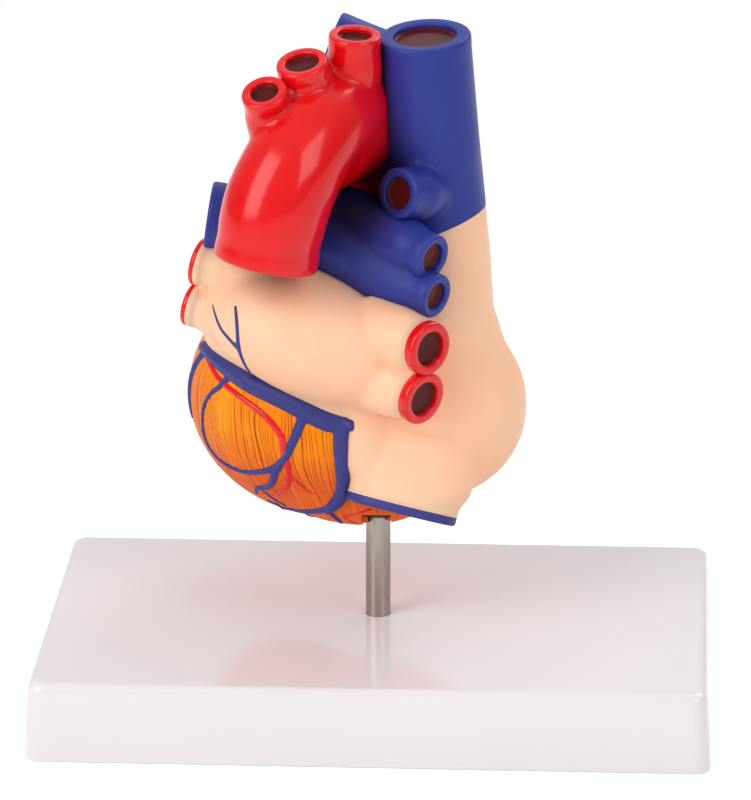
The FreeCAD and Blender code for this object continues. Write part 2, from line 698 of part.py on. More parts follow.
def make_plugs():
    plugs = [plug_of(name) for name in OPEN_ENDS]
    group = doc.addObject("Part::Compound", "vessel_plug_group")
    group.Links = plugs
    doc.recompute()
    return keep("vessel_plugs", group)


def make_surface_vessels(outer, earlier, front):
    """Coronary vessels, each half sunk in the surface that it runs on."""
    atria = [thing for thing in earlier if thing.Name.startswith(("left_atrium", "right_atrium"))]
    laid = list(earlier)
    for name, (side, radius, places) in SURFACE_VESSELS.items():
        line = surface_vessel(name, [outer, *atria] if side == "back" else [front])
        around = laid if side == "back" else [front, *laid[len(earlier):]]
        keep(name, carve(name, line, around))
        laid.append(line)


def make_valves(back):
    """Valve funnels, papillary muscles and tendinous cords, all trimmed to the chamber walls."""
    front_room = front_region("valve_front_room", "0")
    funnels = {}
    for name in VALVES:
        cone = valve_cone(f"{name}_cone", name, 0)
        hollow = valve_cone(f"{name}_hollow", name, size("leaflet_thick"))
        funnels[name] = combine("Cut", f"{name}_funnel", cone, hollow)
        keep(name, carve(name, funnels[name], [back, front_room]))
    muscles = []
    tips = {}
    for name, route in PAPILLARY_MUSCLES.items():
        points, radii = route_of(name, len(route), inner_point)
        tips[name] = points[-1]
        muscles.append(feature(f"{name}_cone", tube(points, radii)))
    group = fuse("papillary_group", muscles)
    keep("papillary_muscles", carve("papillary", group, [back, front_room]))
    cords = []
    for muscle, valve in CORD_FANS.items():
        start = tips[muscle]
        top, ahead = valve_axis(valve)
        rim = top + ahead * size("valve_height") * scale * CORD_RIM_SHARE
        upper, lower = (size(f"{valve}_{end}") * scale for end in ("upper", "lower"))
        reach = upper + (lower - upper) * CORD_RIM_SHARE - size("leaflet_thick") / 2
        flat = (start - rim - ahead * (start - rim).dot(ahead)).normalize() * reach
        for index in range(CORDS_PER_MUSCLE):
            turn = (index - (CORDS_PER_MUSCLE - 1) / 2) * CORD_FAN_STEP
            end = rim + Rotation(ahead, turn).multVec(flat)
            cords.append(feature(f"{muscle}_cord_{index}", Part.makeCylinder(
                size("cord_radius"), (end - start).Length, start, end - start)))
    strings = fuse("cord_group", cords)
    keep("tendinous_cords", carve("cords", strings, [group, back, *funnels.values()]))


make_base_shell()
make_base_plate()
make_plate_screws()
make_rod()
ventricles_outer, ventricles_back, ventricles_front = make_ventricles()
pieces_so_far = make_great_vessels_and_atria(ventricles_outer)
make_plugs()
make_surface_vessels(ventricles_outer, pieces_so_far, ventricles_front)
make_valves(ventricles_back)
doc.recompute()

# ----------------------------------------------------------------------------------------------------
# Checks and files
# ----------------------------------------------------------------------------------------------------

for thing in doc.Objects:
    assert not {"Invalid", "Error"} & set(thing.State), f"{thing.Label}: {thing.State}"
for name, thing in nodes.items():
    assert not thing.Shape.isNull() and thing.Shape.isValid(), f"{name} is not sound"
    assert thing.Shape.Solids, f"{name} holds no solid"

os.makedirs("parts", exist_ok=True)
for name, thing in nodes.items():
    thing.Shape.exportStep(f"parts/{name}.step")
    print(f"{name:28s} solids {len(thing.Shape.Solids):2d}  volume {thing.Shape.Volume / 1000:8.2f} cm3")
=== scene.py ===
# %% [markdown]
# Two-part heart model on a stand. The real thing is a painted soft-vinyl heart at life size on a steel
# rod, which stands in a moulded plastic base. Its front wall comes off and shows the two lower chambers.
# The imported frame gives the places, sizes and moving bodies. This file gives every piece its final skin
# and paint. Shapes are worked in millimetres, because that is how such a casting is drawn, and turned to
# metres once, when a piece is finished.

import math

import bmesh
import bpy
import numpy as np
from mathutils import Matrix, Vector, noise
from mathutils.bvhtree import BVHTree


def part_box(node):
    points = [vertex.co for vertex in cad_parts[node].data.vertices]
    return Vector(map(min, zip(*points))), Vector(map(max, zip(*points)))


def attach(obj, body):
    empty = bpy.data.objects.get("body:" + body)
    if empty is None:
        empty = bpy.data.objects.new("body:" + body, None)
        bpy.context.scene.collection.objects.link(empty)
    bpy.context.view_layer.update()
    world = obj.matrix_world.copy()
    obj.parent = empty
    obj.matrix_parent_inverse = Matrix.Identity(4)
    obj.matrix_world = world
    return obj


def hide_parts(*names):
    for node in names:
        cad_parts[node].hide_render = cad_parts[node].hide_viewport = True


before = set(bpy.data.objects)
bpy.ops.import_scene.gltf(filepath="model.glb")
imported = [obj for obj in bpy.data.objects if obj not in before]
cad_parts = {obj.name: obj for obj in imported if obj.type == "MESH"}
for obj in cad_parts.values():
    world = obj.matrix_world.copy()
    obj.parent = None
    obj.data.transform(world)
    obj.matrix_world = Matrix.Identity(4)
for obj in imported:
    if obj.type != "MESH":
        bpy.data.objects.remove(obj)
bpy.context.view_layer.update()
MM = 0.001
BUSH_RECESS = 2  # the rod's bush starts this far above the heart's foot
HEART_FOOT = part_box("rod_socket")[0].z / MM - BUSH_RECESS
FROM_FOOT = Matrix.Scale(MM, 4) @ Matrix.Translation((0, 0, HEART_FOOT))
FROM_FLOOR = Matrix.Scale(MM, 4)

# %% [markdown]
# Nodes and colours. A material is a small tree of nodes. One function adds any node: settings with a name
# go to the node itself, and the rest fill its inputs in their order. An input takes a plain value, a
# colour, a socket, or a node, whose first output in use then feeds it. Paint colours are written as sRGB
# hex values, as on a colour chart, and one function turns them to the renderer's linear values.

# %% Functions for nodes, colours and objects
scene = bpy.context.scene


def linear(code):
    """An sRGB hex colour as linear red, green, blue and alpha."""
    parts = [int(code[i:i + 2], 16) / 255 for i in (1, 3, 5)]
    return (*(c / 12.92 if c <= 0.04045 else ((c + 0.055) / 1.055) ** 2.4 for c in parts), 1)


def fill(made, values):
    """Fills inputs of a node: a dict goes by their names, a list by the order of those in use."""
    if not isinstance(values, dict):
        values = dict(zip([i for i, socket in enumerate(made.inputs) if socket.enabled], values))
    for key, value in values.items():
        if isinstance(value, bpy.types.Node):
            value = next(output for output in value.outputs if output.enabled)
        if isinstance(value, bpy.types.NodeSocket):
            made.id_data.links.new(value, made.inputs[key])
        else:
            made.inputs[key].default_value = linear(value) if isinstance(value, str) else value


def node(tree, kind, *values, **settings):
    """Adds one shader node with its settings and the values of its inputs."""
    made = tree.nodes.new("ShaderNode" + kind)
    for name, value in settings.items():
        setattr(made, name, value)
    fill(made, values[0] if values and isinstance(values[0], dict) else values)
    return made


def new_finish(name, constants):
    """A material with its node tree, its one Principled shader, and the place of each point on a piece."""
    material = bpy.data.materials.new(name)
    material.use_nodes = True
    tree = material.node_tree
    shader = tree.nodes["Principled BSDF"]
    fill(shader, constants)
    return material, tree, shader, node(tree, "TexCoord").outputs["Object"]


def put(name, data, place=None, gaze=None):
    """Adds an object to the scene. A camera or lamp is also set in its place and turned to its gaze."""
    thing = bpy.data.objects.new(name, data)
    scene.collection.objects.link(thing)
    if gaze:
        thing.location = place
        thing.rotation_mode = "QUATERNION"
        thing.rotation_quaternion = gaze.to_track_quat("-Z", "Y")
    return thing


print("colour helper gives", [round(c, 3) for c in linear("#808080")])

# %% [markdown]
# The camera stands in front of the heart's back, a little above it, with a long lens, so that upright
# lines stay nearly upright. It stands at a fixed place, and two angles say from where it looks.

# %% Camera
CAMERA_PLACE = Vector((0.071836, -1.350328, 0.49701))
LOOKS_FROM_SIDE = math.radians(3.073)
LOOKS_FROM_ABOVE = math.radians(17.402)
camera_data = bpy.data.cameras.new("studio_camera")
camera_data.sensor_width = 36
camera_data.lens = 265.44
back = Vector((
    math.sin(LOOKS_FROM_SIDE) * math.cos(LOOKS_FROM_ABOVE),
    -math.cos(LOOKS_FROM_SIDE) * math.cos(LOOKS_FROM_ABOVE),
    math.sin(LOOKS_FROM_ABOVE),
))
scene.camera = put("studio_camera", camera_data, CAMERA_PLACE, -back)
print("camera at", [round(v, 3) for v in scene.camera.location])

# %% [markdown]
# The studio is a white sweep with soft light. The world lights the object from all round. It is dimmer
# below and at the sides, so that gloss and steel have something to show, and brighter behind, where the
# sweep rises. The camera itself sees plain white. A large soft box stands to the left, above the camera,
# and weaker ones to the right and behind. The floor is pale and keeps the object's shadow; further out it
# turns to plain white, so that no horizon shows.

# %% Light and floor
WHITE = "#FFFFFF"
scene.view_settings.view_transform = "Standard"
world = bpy.data.worlds.new("studio")
scene.world = world
world.use_nodes = True
air = world.node_tree
air.nodes.clear()
direction = node(air, "SeparateXYZ", node(air, "TexCoord").outputs["Generated"]).outputs
overhead = node(air, "MapRange", direction["Z"], -0.2, 0.9, 0.3, 0.62)
sideways = node(air, "Math", direction["X"], operation="ABSOLUTE")
flags = node(air, "MapRange", sideways, 0.55, 0.95, 1, 0.6)
backdrop = node(air, "MapRange", direction["Y"], 0.1, 0.8, 1, 1.6)
sides = node(air, "Math", overhead, flags, operation="MULTIPLY")
room = node(air, "Math", sides, backdrop, operation="MULTIPLY")
room_light = node(air, "Background", WHITE, room)
white_sweep = node(air, "Background", WHITE, 1)
to_camera = node(air, "LightPath").outputs["Is Camera Ray"]
seen = node(air, "MixShader", to_camera, room_light, white_sweep)
node(air, "OutputWorld", seen)
LAMPS_AIM = Vector((0, 0, 0.09))  # about the middle of the object


def soft_box(name, place, width, height, power):
    """A rectangular lamp that points from its place at the object."""
    data = bpy.data.lights.new(name, "AREA")
    data.shape = "RECTANGLE"
    data.size = width
    data.size_y = height
    data.energy = power
    put(name, data, place, LAMPS_AIM - Vector(place))


soft_box("soft_box_left", (-0.74, -0.68, 0.68), 0.7, 0.95, 7.6)
soft_box("soft_box_right", (0.75, -0.7, 0.75), 0.6, 0.75, 4.0)
soft_box("soft_box_behind", (0.55, 0.8, 0.95), 0.6, 0.5, 2.8)

bm = bmesh.new()
bmesh.ops.create_grid(bm, x_segments=2, y_segments=2, size=8)
floor_mesh = bpy.data.meshes.new("floor")
bm.to_mesh(floor_mesh)
bm.free()
floor = put("floor", floor_mesh)
PAPER_LOOK = {"Roughness": 0.9, "Specular IOR Level": 0.1, "Base Color": "#F4F4F4"}
floor_paper, tree, shader, place = new_finish("floor_paper", PAPER_LOOK)
grain = node(tree, "TexNoise", place, 900)  # paper grain of about 1 mm
fill(shader, {"Normal": node(tree, "Bump", {"Height": grain, "Strength": 0.05, "Distance": 0.0002})})
far = node(tree, "VectorMath", place, operation="LENGTH")
fade = node(tree, "MapRange", far, 0.16, 0.6, interpolation_type="SMOOTHSTEP")
eye = node(tree, "LightPath").outputs
looked_at = node(tree, "Math", eye["Is Camera Ray"], eye["Is Glossy Ray"], operation="MAXIMUM")
white = node(tree, "Math", fade, looked_at, operation="MULTIPLY")
unlit = node(tree, "Emission", {"Strength": 0})
lift = node(tree, "Emission", WHITE, 0.3)
lifted = node(tree, "MixShader", looked_at, unlit, lift)
lit = node(tree, "AddShader", shader, lifted)
plain = node(tree, "Emission", WHITE, 1)
surface = node(tree, "MixShader", white, lit, plain)
fill(tree.nodes["Material Output"], {"Surface": surface})
floor_mesh.materials.append(floor_paper)

# %% [markdown]
# Painted vinyl. The heart is slush-moulded in soft PVC, which copies a sculpted master with soft edges,
# and is then painted by hand. The paint lies a little thicker in creases, its gloss changes from place to
# place, and the skin keeps slight waves. One recipe makes every plain paint of the heart: two shades of
# the same colour mixed by slow noise, a darker tone in creases for the pooled paint and as painted shade,
# a paler one on edges as a painted highlight, roughness that drifts, and a low bump from waves and from
# the fine grain of the paint. Some paints also get a soft spot of painted shade, where vessels cast shade
# on each other.

# %% The recipe for painted vinyl
WAVE_MM = 9  # slow waves of the moulded skin
PEEL_MM = 1.4  # orange peel of the paint
GRAIN_MM = 0.45  # brush grain, drawn coarser than real so that it shows


def per_mm(size_mm):
    """The noise scale at which one feature is this many millimetres."""
    return 1 / (size_mm * MM)


def two_shades(tree, place, size_mm, detail, first, second, low=0, high=1):
    """Two shades of a colour mixed in clouds of a size. Low and high are where the clouds turn."""
    cloud = node(tree, "TexNoise", place, per_mm(size_mm), detail)
    share = node(tree, "MapRange", cloud, low, high)
    return node(tree, "Mix", share, first, second, data_type="RGBA")


def crease_shade_and_edge_highlight(tree, paint, dark, pale):
    """Darkens creases for pooled paint and as painted shade, and lightens edges as a painted highlight.
    Pointiness is 0.5 on level skin.
    """
    curve = node(tree, "NewGeometry").outputs["Pointiness"]
    hollow = node(tree, "MapRange", curve, 0.5, 0.42)
    ridge = node(tree, "MapRange", curve, 0.53, 0.62)
    lower = node(tree, "Mix", hollow, paint, dark, data_type="RGBA")
    return node(tree, "Mix", ridge, lower, pale, data_type="RGBA")


def gloss_and_relief(tree, shader, place, low, high, waves=0.5, peel=0.3):
    """Roughness that drifts from low to high, and the skin's waves, orange peel and grain as bump."""
    drift = node(tree, "TexNoise", place, per_mm(14), 3)
    fill(shader, {"Roughness": node(tree, "MapRange", drift, 0.3, 0.7, low, high)})
    relief = {}
    for size, strength, depth in ((WAVE_MM, waves, 0.25), (PEEL_MM, peel, 0.03), (GRAIN_MM, peel, 0.008)):
        bumps = node(tree, "TexNoise", place, per_mm(size), 1)
        relief.update(Height=bumps, Strength=strength, Distance=depth * MM)
        relief = {"Normal": node(tree, "Bump", relief)}
    fill(shader, relief)


def painted_shade_spot(tree, place, paint, centre, reach, shade, share):
    """A soft spot of painted shade on a paint, where vessels shade each other. Centre and reach are in
    millimetres.
    """
    spot = FROM_FOOT @ Vector(centre)
    away = node(tree, "VectorMath", place, spot, operation="DISTANCE")
    edges = (reach * MM, reach * MM * 0.3, 0, share)
    tint_share = node(tree, "MapRange", away, *edges, interpolation_type="SMOOTHSTEP")
    return node(tree, "Mix", tint_share, paint, shade, data_type="RGBA")


def painted_vinyl(name, main, thin, dark, pale, low, high, coat=0.0, waves=0.5, peel=0.3, painted_shades=()):
    """A plain paint on vinyl: main and thin shades, painted crease shade and edge highlight, roughness from
    low to high.
    """
    look = {"IOR": 1.5, "Specular IOR Level": 0.28, "Coat Weight": coat, "Coat Roughness": 0.1}
    material, tree, shader, place = new_finish(name, look)
    colour = crease_shade_and_edge_highlight(tree, two_shades(tree, place, 17, 4, main, thin, 0.35, 0.7), dark, pale)
    for shade_spot in painted_shades:
        colour = painted_shade_spot(tree, place, colour, *shade_spot)
    fill(shader, {"Base Color": colour})
    gloss_and_relief(tree, shader, place, low, high, waves, peel)
    return material


# Arterial red: a full gloss enamel, the shiniest paint on the heart, so that soft boxes mirror in it.
# A spot of painted shade darkens the hollow under the arch nearly to black.
ARTERY_RED = painted_vinyl("artery_red_enamel", "#DC060C", "#E30B10", "#A4040A", "#EC201E", 0.16, 0.26,
                           coat=0.3, peel=0.6, painted_shades=[((-3, -1, 83), 18, "#3A0204", 0.9)])
# Venous blue: a satin acrylic with a broad, dull highlight.
# A spot of painted shade darkens the blue vessels under the arch nearly to black.
VEIN_BLUE = painted_vinyl("vein_blue_satin", "#27348A", "#2D3B92", "#1A2260", "#3A479E", 0.36, 0.46,
                          painted_shades=[((-5, -6, 81), 18, "#0C0A1E", 0.92)])
# The blue of the heart's own veins: the same satin with more violet, brushed on thinly.
CARDIAC_BLUE = painted_vinyl("cardiac_vein_satin", "#34377E", "#3C3F86", "#22245A", "#484B8E", 0.38, 0.5)
# Flesh: the vinyl's own skin tone under a thin matt lacquer.
# A warm spot of painted shade lies on the atrium under the cut end of the aorta.
FLESH = painted_vinyl("flesh_tone_vinyl", "#FEC5A0", "#FFCCAA", "#EA9A70", "#FFD6B8", 0.42, 0.52, waves=0.4,
                      painted_shades=[((-20, -27, 69), 12, "#FFB088", 0.6)])
# Light enters the soft vinyl and reddens its shade.
fill(FLESH.node_tree.nodes["Principled BSDF"], {
    "Subsurface Weight": 0.25, "Subsurface Radius": (1, 0.35, 0.2), "Subsurface Scale": 3 * MM})
print("paints:", [m.name for m in (ARTERY_RED, VEIN_BLUE, CARDIAC_BLUE, FLESH)])

# %% [markdown]
# Shapes that have grown are built as the sculptor builds them: rough masses and bent rods of clay are
# pressed together and smoothed into one skin. Here the masses are stretched spheres, and the rods are
# curves with a round section. A voxel remesh melts them together, and smoothing turns the seams into
# soft fillets. It suits organic forms, and it always gives a closed skin.

# %% Tools for grown shapes
SHORT_OF_CUT = 2.3  # a grown vessel ends this far below the place where it is cut
ALL_AXES = {"use_axis_x": True, "use_axis_y": True, "use_axis_z": True}


def curve_points(route, steps=8):
    """A smooth line along a route of x, y, height and radius, as a list of places and one of radii."""
    curve = bpy.data.curves.new("line", "CURVE")
    curve.dimensions = "3D"
    curve.resolution_u = steps
    spline = curve.splines.new("BEZIER")
    spline.bezier_points.add(len(route) - 1)
    for handle, stop in zip(spline.bezier_points, route):
        handle.co = stop[:3]
        handle.handle_left_type = handle.handle_right_type = "AUTO"
    holder = put("line", curve)
    bpy.context.view_layer.update()
    mesh = bpy.data.meshes.new_from_object(holder)
    places = [v.co.copy() for v in mesh.vertices]
    bpy.data.objects.remove(holder)
    bpy.data.meshes.remove(mesh)
    bpy.data.curves.remove(curve)
    radii = [stop[3] for stop in route]
    return places, np.interp(np.linspace(0, len(route) - 1, len(places)), range(len(route)), radii)


def upright_on(centre, out):
    """The matrix that moves the origin to a centre, and turns z to a direction."""
    return Matrix.Translation(centre) @ Vector(out).to_track_quat("Z", "Y").to_matrix().to_4x4()


def ring(bm, centre, out, radius, sides=64, flat=1):
    """A circle of edges square to out. flat squeezes it along y."""
    lean = Vector((out[0], out[1] * flat, out[2]))
    place = upright_on(centre, lean)
    made = bmesh.ops.create_circle(bm, segments=sides, radius=radius, matrix=place)["verts"]
    if flat != 1:
        bmesh.ops.scale(bm, vec=(1, flat, 1), verts=made, space=Matrix.Translation(-Vector(centre)))
    return list(dict.fromkeys(edge for vert in made for edge in vert.link_edges))  # each edge once


def bridge(bm, rings, filled=True):
    """Spans walls from ring to ring, and a face over the first and the last."""
    if filled:
        bmesh.ops.edgeloop_fill(bm, edges=rings[0])
    for near, far in zip(rings, rings[1:]):
        bmesh.ops.bridge_loops(bm, edges=near + far)
    if filled:
        bmesh.ops.edgeloop_fill(bm, edges=rings[-1])


def add_tube(bm, places, widths, sides, flat=1):
    """A closed round tube along places."""
    steps = zip(places, [places[0], *places], [*places[1:], places[-1]], widths)
    bridge(bm, [ring(bm, at, after - before, width, sides, flat) for at, before, after, width in steps])


def add_vessel(bm, route, cut=True, sides=40, flat=1):
    """A vessel along a route. If it is to be cut, its first end stops short of the cut."""
    places, widths = curve_points(route)
    short = SHORT_OF_CUT if cut else 0
    end = places[0] - (places[0] - places[1]).normalized() * short
    rest = [(p, w) for p, w in zip(places[1:], widths[1:]) if (p - places[0]).length > short + 0.5]
    add_tube(bm, [end] + [p for p, _ in rest], [widths[0]] + [w for _, w in rest], sides, flat)


def add_blob(bm, centre, half, turn=(0, 0, 0), detail=5):
    """A stretched sphere, turned by degrees about x, y and z."""
    spin = Matrix.Identity(3)
    for angle, axis in zip(turn, "XYZ"):
        spin = Matrix.Rotation(math.radians(angle), 3, axis) @ spin
    shape = Matrix.Translation(centre) @ spin.to_4x4() @ Matrix.Diagonal((*half, 1))
    return bmesh.ops.create_icosphere(bm, subdivisions=detail, radius=1, matrix=shape)["verts"]


def holder_of(bm):
    """A temporary object that takes over the shape of a bmesh."""
    mesh = bpy.data.meshes.new("shape")
    bm.to_mesh(mesh)
    bm.free()
    return put("shape", mesh)


def applied(holders):
    """The first holder with its modifiers applied, as a new bmesh. All holders are removed."""
    live = holders[0].evaluated_get(bpy.context.evaluated_depsgraph_get())
    result = bpy.data.meshes.new_from_object(live)
    for holder in holders:
        bpy.data.objects.remove(holder)
    made = bmesh.new()
    made.from_mesh(result)
    bpy.data.meshes.remove(result)
    return made


def melt(bm, voxel, passes):
    """Melts overlapping closed shapes into one smooth skin, and returns it as a new bmesh."""
    holder = holder_of(bm)
    skin = holder.modifiers.new("skin", "REMESH")
    skin.mode = "VOXEL"
    skin.voxel_size = voxel
    fillets = holder.modifiers.new("fillets", "SMOOTH")
    fillets.factor = 0.5
    fillets.iterations = passes
    return applied([holder])


def shaped_object(bm, name, materials, to_frame=FROM_FOOT, sharp=45):
    """Turns a bmesh in millimetres into a finished object in the frame."""
    bmesh.ops.recalc_face_normals(bm, faces=bm.faces)
    mesh = bpy.data.meshes.new(name)
    bm.to_mesh(mesh)
    bm.free()
    mesh.transform(to_frame)
    mesh.shade_smooth()
    mesh.set_sharp_from_angle(angle=math.radians(sharp))
    for material in materials:
        mesh.materials.append(material)
    return put(name, mesh)


def finish_piece(thing, body, slot, *nodes):
    """Puts a piece on its body and hides the nodes that it stands for. Its slot is not used."""
    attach(thing, body)
    if nodes:
        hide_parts(*nodes)
    faces = sum(len(p.vertices) - 2 for p in thing.data.polygons)
    print(f"{thing.name}: {faces} triangles")


# %% [markdown]
# Cut vessels. Every vessel ends in a clean cut: a flat ring with rounded edges round a shallow recess,
# and a dark glossy plug in the recess that stands for the open inside. Melting would blur such an edge,
# so the grown tube stops just short of the cut and its last millimetres are trued to a circle. A collar
# of bridged circles carries on from there, flush with the skin, and keeps the crisp edge.

# %% Tools for cut ends
RECESS = 2.1
TRUED = 8  # length of skin that is eased into a true circle
FULLY_TRUE = 2.9  # length of it, next to the cut, that is a circle already
BELONGS = 1.35  # skin farther from the axis than this many radii belongs to something else
UNDER_COLLAR = 0.03
PAINTED_RIM = 2.2  # height of a rim that is painted apart from its vessel
COLLAR = [  # inset from the outer radius, height from the cut
    (1.2, -6.6), (0.45, -5.8), (0.14, -4.5), (0.03, -3.2), (0, -PAINTED_RIM), (0, -0.85), (0.06, -0.5),
    (0.24, -0.2), (0.5, -0.04), (0.8, 0),
]
INNER_LIP = [(0.45, -0.04), (0.18, -0.14), (0.03, -0.36), (0, -0.7)]  # outset from the recess, height
PAINT_COAT = 0.04
PLUGS = []  # place, direction, radius and flatness of every dark plug, filled as ends are cut


def true_skin(bm, start, out, radius, flat):
    """Eases the last millimetres of a grown tube out to a circle that lies just under its collar."""
    bm.normal_update()
    eased = []
    for vert in bm.verts:
        offset = vert.co - start
        offset.y /= flat
        along = offset.dot(out)
        if -TRUED < along < 0:
            arm = offset - out * along
            if 0 < arm.length < radius * BELONGS and vert.normal.dot(arm) > 0.35 * arm.length:
                share = min(1, (along + TRUED) / (TRUED - FULLY_TRUE))
                near = min(1, max(0, (BELONGS - arm.length / radius) / 0.2))
                ease = share * share * (3 - 2 * share) * near
                push = arm * ((radius - UNDER_COLLAR) / arm.length - 1) * ease
                vert.co += Vector((push.x, push.y * flat, push.z))
                if along < -FULLY_TRUE:
                    eased.append(vert)
    for _ in range(4):
        bmesh.ops.smooth_vert(bm, verts=eased, factor=0.5, **ALL_AXES)


def open_end(route):
    """The middle of a route's open end, and the direction out of it."""
    start = Vector(route[0][:3])
    return start, (start - Vector(route[1][:3])).normalized()


def cut_end(bm, route, wall, flat=1, paint=0):
    """Finishes the open end of a vessel with a closed collar, and notes the plug that it needs."""
    start, out = open_end(route)
    outer = route[0][3]
    inner = outer - wall
    true_skin(bm, start, out, outer, flat)
    stops = [(outer - inset, height) for inset, height in COLLAR]
    stops += [(inner + outset, height) for outset, height in INNER_LIP] + [(inner, -RECESS)]
    rings = [ring(bm, start + out * height, out, radius, flat=flat) for radius, height in stops]
    bridge(bm, rings)
    rim = [edge for edges, (_, height) in zip(rings, stops) if height > -PAINTED_RIM for edge in edges]
    for face in {face for edge in rim for vert in edge.verts for face in vert.link_faces}:
        face.material_index = paint
    PLUGS.append((start, out, inner, flat))


def add_painted_lip(bm, route, wall, height):
    """A thin closed shell of another colour over the last part of a cut end, and down its recess."""
    start, out = open_end(route)
    outer = route[0][3] + PAINT_COAT
    inner = route[0][3] - wall - PAINT_COAT
    stops = [(outer - 0.4, -height - 0.12), (outer - 0.06, -height - 0.04), (outer, -height + 0.06)]
    stops += [(outer - inset, tall + PAINT_COAT) for inset, tall in COLLAR if tall > -1]
    stops += [(inner + outset, tall + PAINT_COAT) for outset, tall in INNER_LIP] + [(inner, -RECESS + 0.05)]
    loops = [ring(bm, start + out * tall, out, radius) for radius, tall in stops]
    bridge(bm, [*loops, loops[0]], filled=False)


# %% [markdown]
# The aorta is one arch that rises behind the pulmonary trunk, turns back over the left lung's vessels
# and ends in a clean cut. Three branches rise from its top. The arch and its branches are one skin, so
# that the branches flow out of the arch with soft fillets.

# %% Aorta
ARCH = [
    (-25.2, -26, 71.5, 12.4), (-22.4, -25, 85.4, 12.9), (-17, -19.5, 96.4, 12.2), (-10.6, -8, 102.6, 11.4),
    (-5.4, 8, 102, 11), (-1, 19, 92, 11.4), (0, 20, 75, 11.5), (-3, 18, 56, 11.5),
]
WEB = [(-18, -18, 94, 10), (-11, -6, 95, 11), (-4.4, 8, 94.5, 11)]  # fills the hollow of the arch a little
BRANCHES = [
    [(-25.5, -22, 112, 5.5), (-24.3, -18.7, 105.8, 6.2), (-21.6, -17, 99.5, 7.4), (-18.4, -17.6, 94, 6)],
    [(-17.1, -15, 117.5, 6.2), (-16.1, -12.8, 111, 6.8), (-14.5, -11.8, 104, 8.6), (-13.6, -12, 97, 6.6)],
    [(-5.15, -6, 122.1, 6.2), (-5.6, -4.8, 113.5, 6.9), (-7.6, -2, 105.5, 8.4), (-8.2, -1, 98, 6.6)],
]
WALL = 2.2
bm = bmesh.new()
add_vessel(bm, ARCH)
add_vessel(bm, WEB, cut=False)
bm = melt(bm, 1.1, 44)
for route in BRANCHES:
    add_vessel(bm, route)
bm = melt(bm, 0.55, 26)
for route in [ARCH] + BRANCHES:
    cut_end(bm, route, WALL)
finish_piece(shaped_object(bm, "aorta_skin", [ARTERY_RED]), "heart", "artery_red", "aorta",
             "left_subclavian_artery", "left_carotid_artery", "innominate_artery")

# %% [markdown]
# The pulmonary trunk rises from the right chamber, bends back under the arch and forks. The left branch
# ends in one cut, the right one in two that touch, with a furrow between them.

# %% Pulmonary arteries
TRUNK = [(-16, -4, 77, 9.5), (-20, 8, 71, 10.5), (-21, 20, 60, 11.5), (-19, 26, 48, 12.5)]
LUNG_BRANCHES = [
    [(-39.9, -8, 77.9, 8.2), (-28.3, -7.9, 76.2, 9), (-16, 0, 76, 9)],
    [(14.1, -20, 71.6, 5.5), (-3, -6, 75, 8), (-16, 0, 77, 9)],
    [(15, -21, 62.4, 5.4), (4, -13, 64.6, 7.4), (-6, -8, 69.6, 8.2), (-15, -4, 74, 8)],
]
bm = bmesh.new()
add_vessel(bm, TRUNK, cut=False)
for route in LUNG_BRANCHES:
    add_vessel(bm, route)
bm = melt(bm, 0.55, 20)
for route in LUNG_BRANCHES:
    cut_end(bm, route, WALL)
finish_piece(shaped_object(bm, "pulmonary_artery_skin", [VEIN_BLUE]), "heart", "vein_blue",
             "pulmonary_trunk", "left_pulmonary_artery", "right_pulmonary_artery")

# %% [markdown]
# The great veins and the two atria. On the real model the blue upper vein and the flesh-coloured atria
# are one casting, and only the paint changes where the vein ends. They are therefore grown as one skin
# and then parted by a plane along the paint's edge, so that the surface runs on without a step.

# %% Atria and great veins as one skin
ATRIA_MASSES = [
    ((-14.5, -12, 50.4), (28, 18, 15.2), (0, 20, 0)),
    ((-36, -1, 50.9), (8.3, 12, 6), (0, 30, 0)),
    ((13, -0.5, 29.8), (23, 17.5, 23.5)),
    ((5, -8, 25), (13, 11, 14)),
    ((14.5, 1, 44), (15.5, 14, 18)),  # where the upper vein widens into the atrium
]
ATRIA_EDGES = [  # raised edges along the middle vein and along the sinus
    [(-2.4, -12.8, 15.5, 5.6), (-2.3, -14.4, 22, 5.5), (-1.8, -14.8, 32, 5.4)],
    [(-36, 16, 47, 3.2), (-39.7, 7, 45, 3.6), (-35.3, -0.5, 43.5, 4.3), (-30, -5, 41.7, 4.6),
     (-24.5, -8.3, 40, 4.6), (-18.6, -11, 37.5, 4.6), (-13.8, -12.8, 35.4, 4.6), (-7.4, -14.4, 33, 4.6)],
]
GREAT_VEINS = {  # wall, flatness, paint of the rim, route
    "upper_cava": (3.4, 1, 0, [(11, 0, 120.6, 10.9), (12.4, 3, 97, 11.3), (14, 6, 73, 11.8),
                               (14.5, 5, 60, 12.5), (14, 3, 46, 14)]),
    "azygos": (WALL, 1, 0, [(5.1, -14, 85.6, 6.1), (9.3, -8.9, 84.3, 6.6), (14.5, -1, 82.5, 5)]),
    "left_brachiocephalic": (WALL, 1, 0, [(-11.4, 8.2, 117.2, 6.9), (10.8, 6, 109.2, 6.8)]),
    "lower_cava": (WALL, 0.62, 1, [(6, -14.5, 6.5, 13.5), (7.6, -12.5, 13, 15.2), (10, -9, 24, 16.8)]),
}
LEFT_VEINS = [
    [(-42.6, -9, 66.9, 5.8), (-34.2, -11.6, 65.1, 6.5), (-25, -12, 61, 8)],
    [(-44.6, -11, 57, 5.2), (-36.2, -13.6, 55.2, 6.5), (-27, -13, 53, 8)],
]
RIGHT_VEINS = [
    [(14, -29, 51.9, 6.4), (-0.6, -15.6, 53, 9)],
    [(12.5, -28, 39.3, 6.4), (-1, -15.6, 42, 9)],
]
bm = bmesh.new()
for mass in ATRIA_MASSES:
    add_blob(bm, *mass)
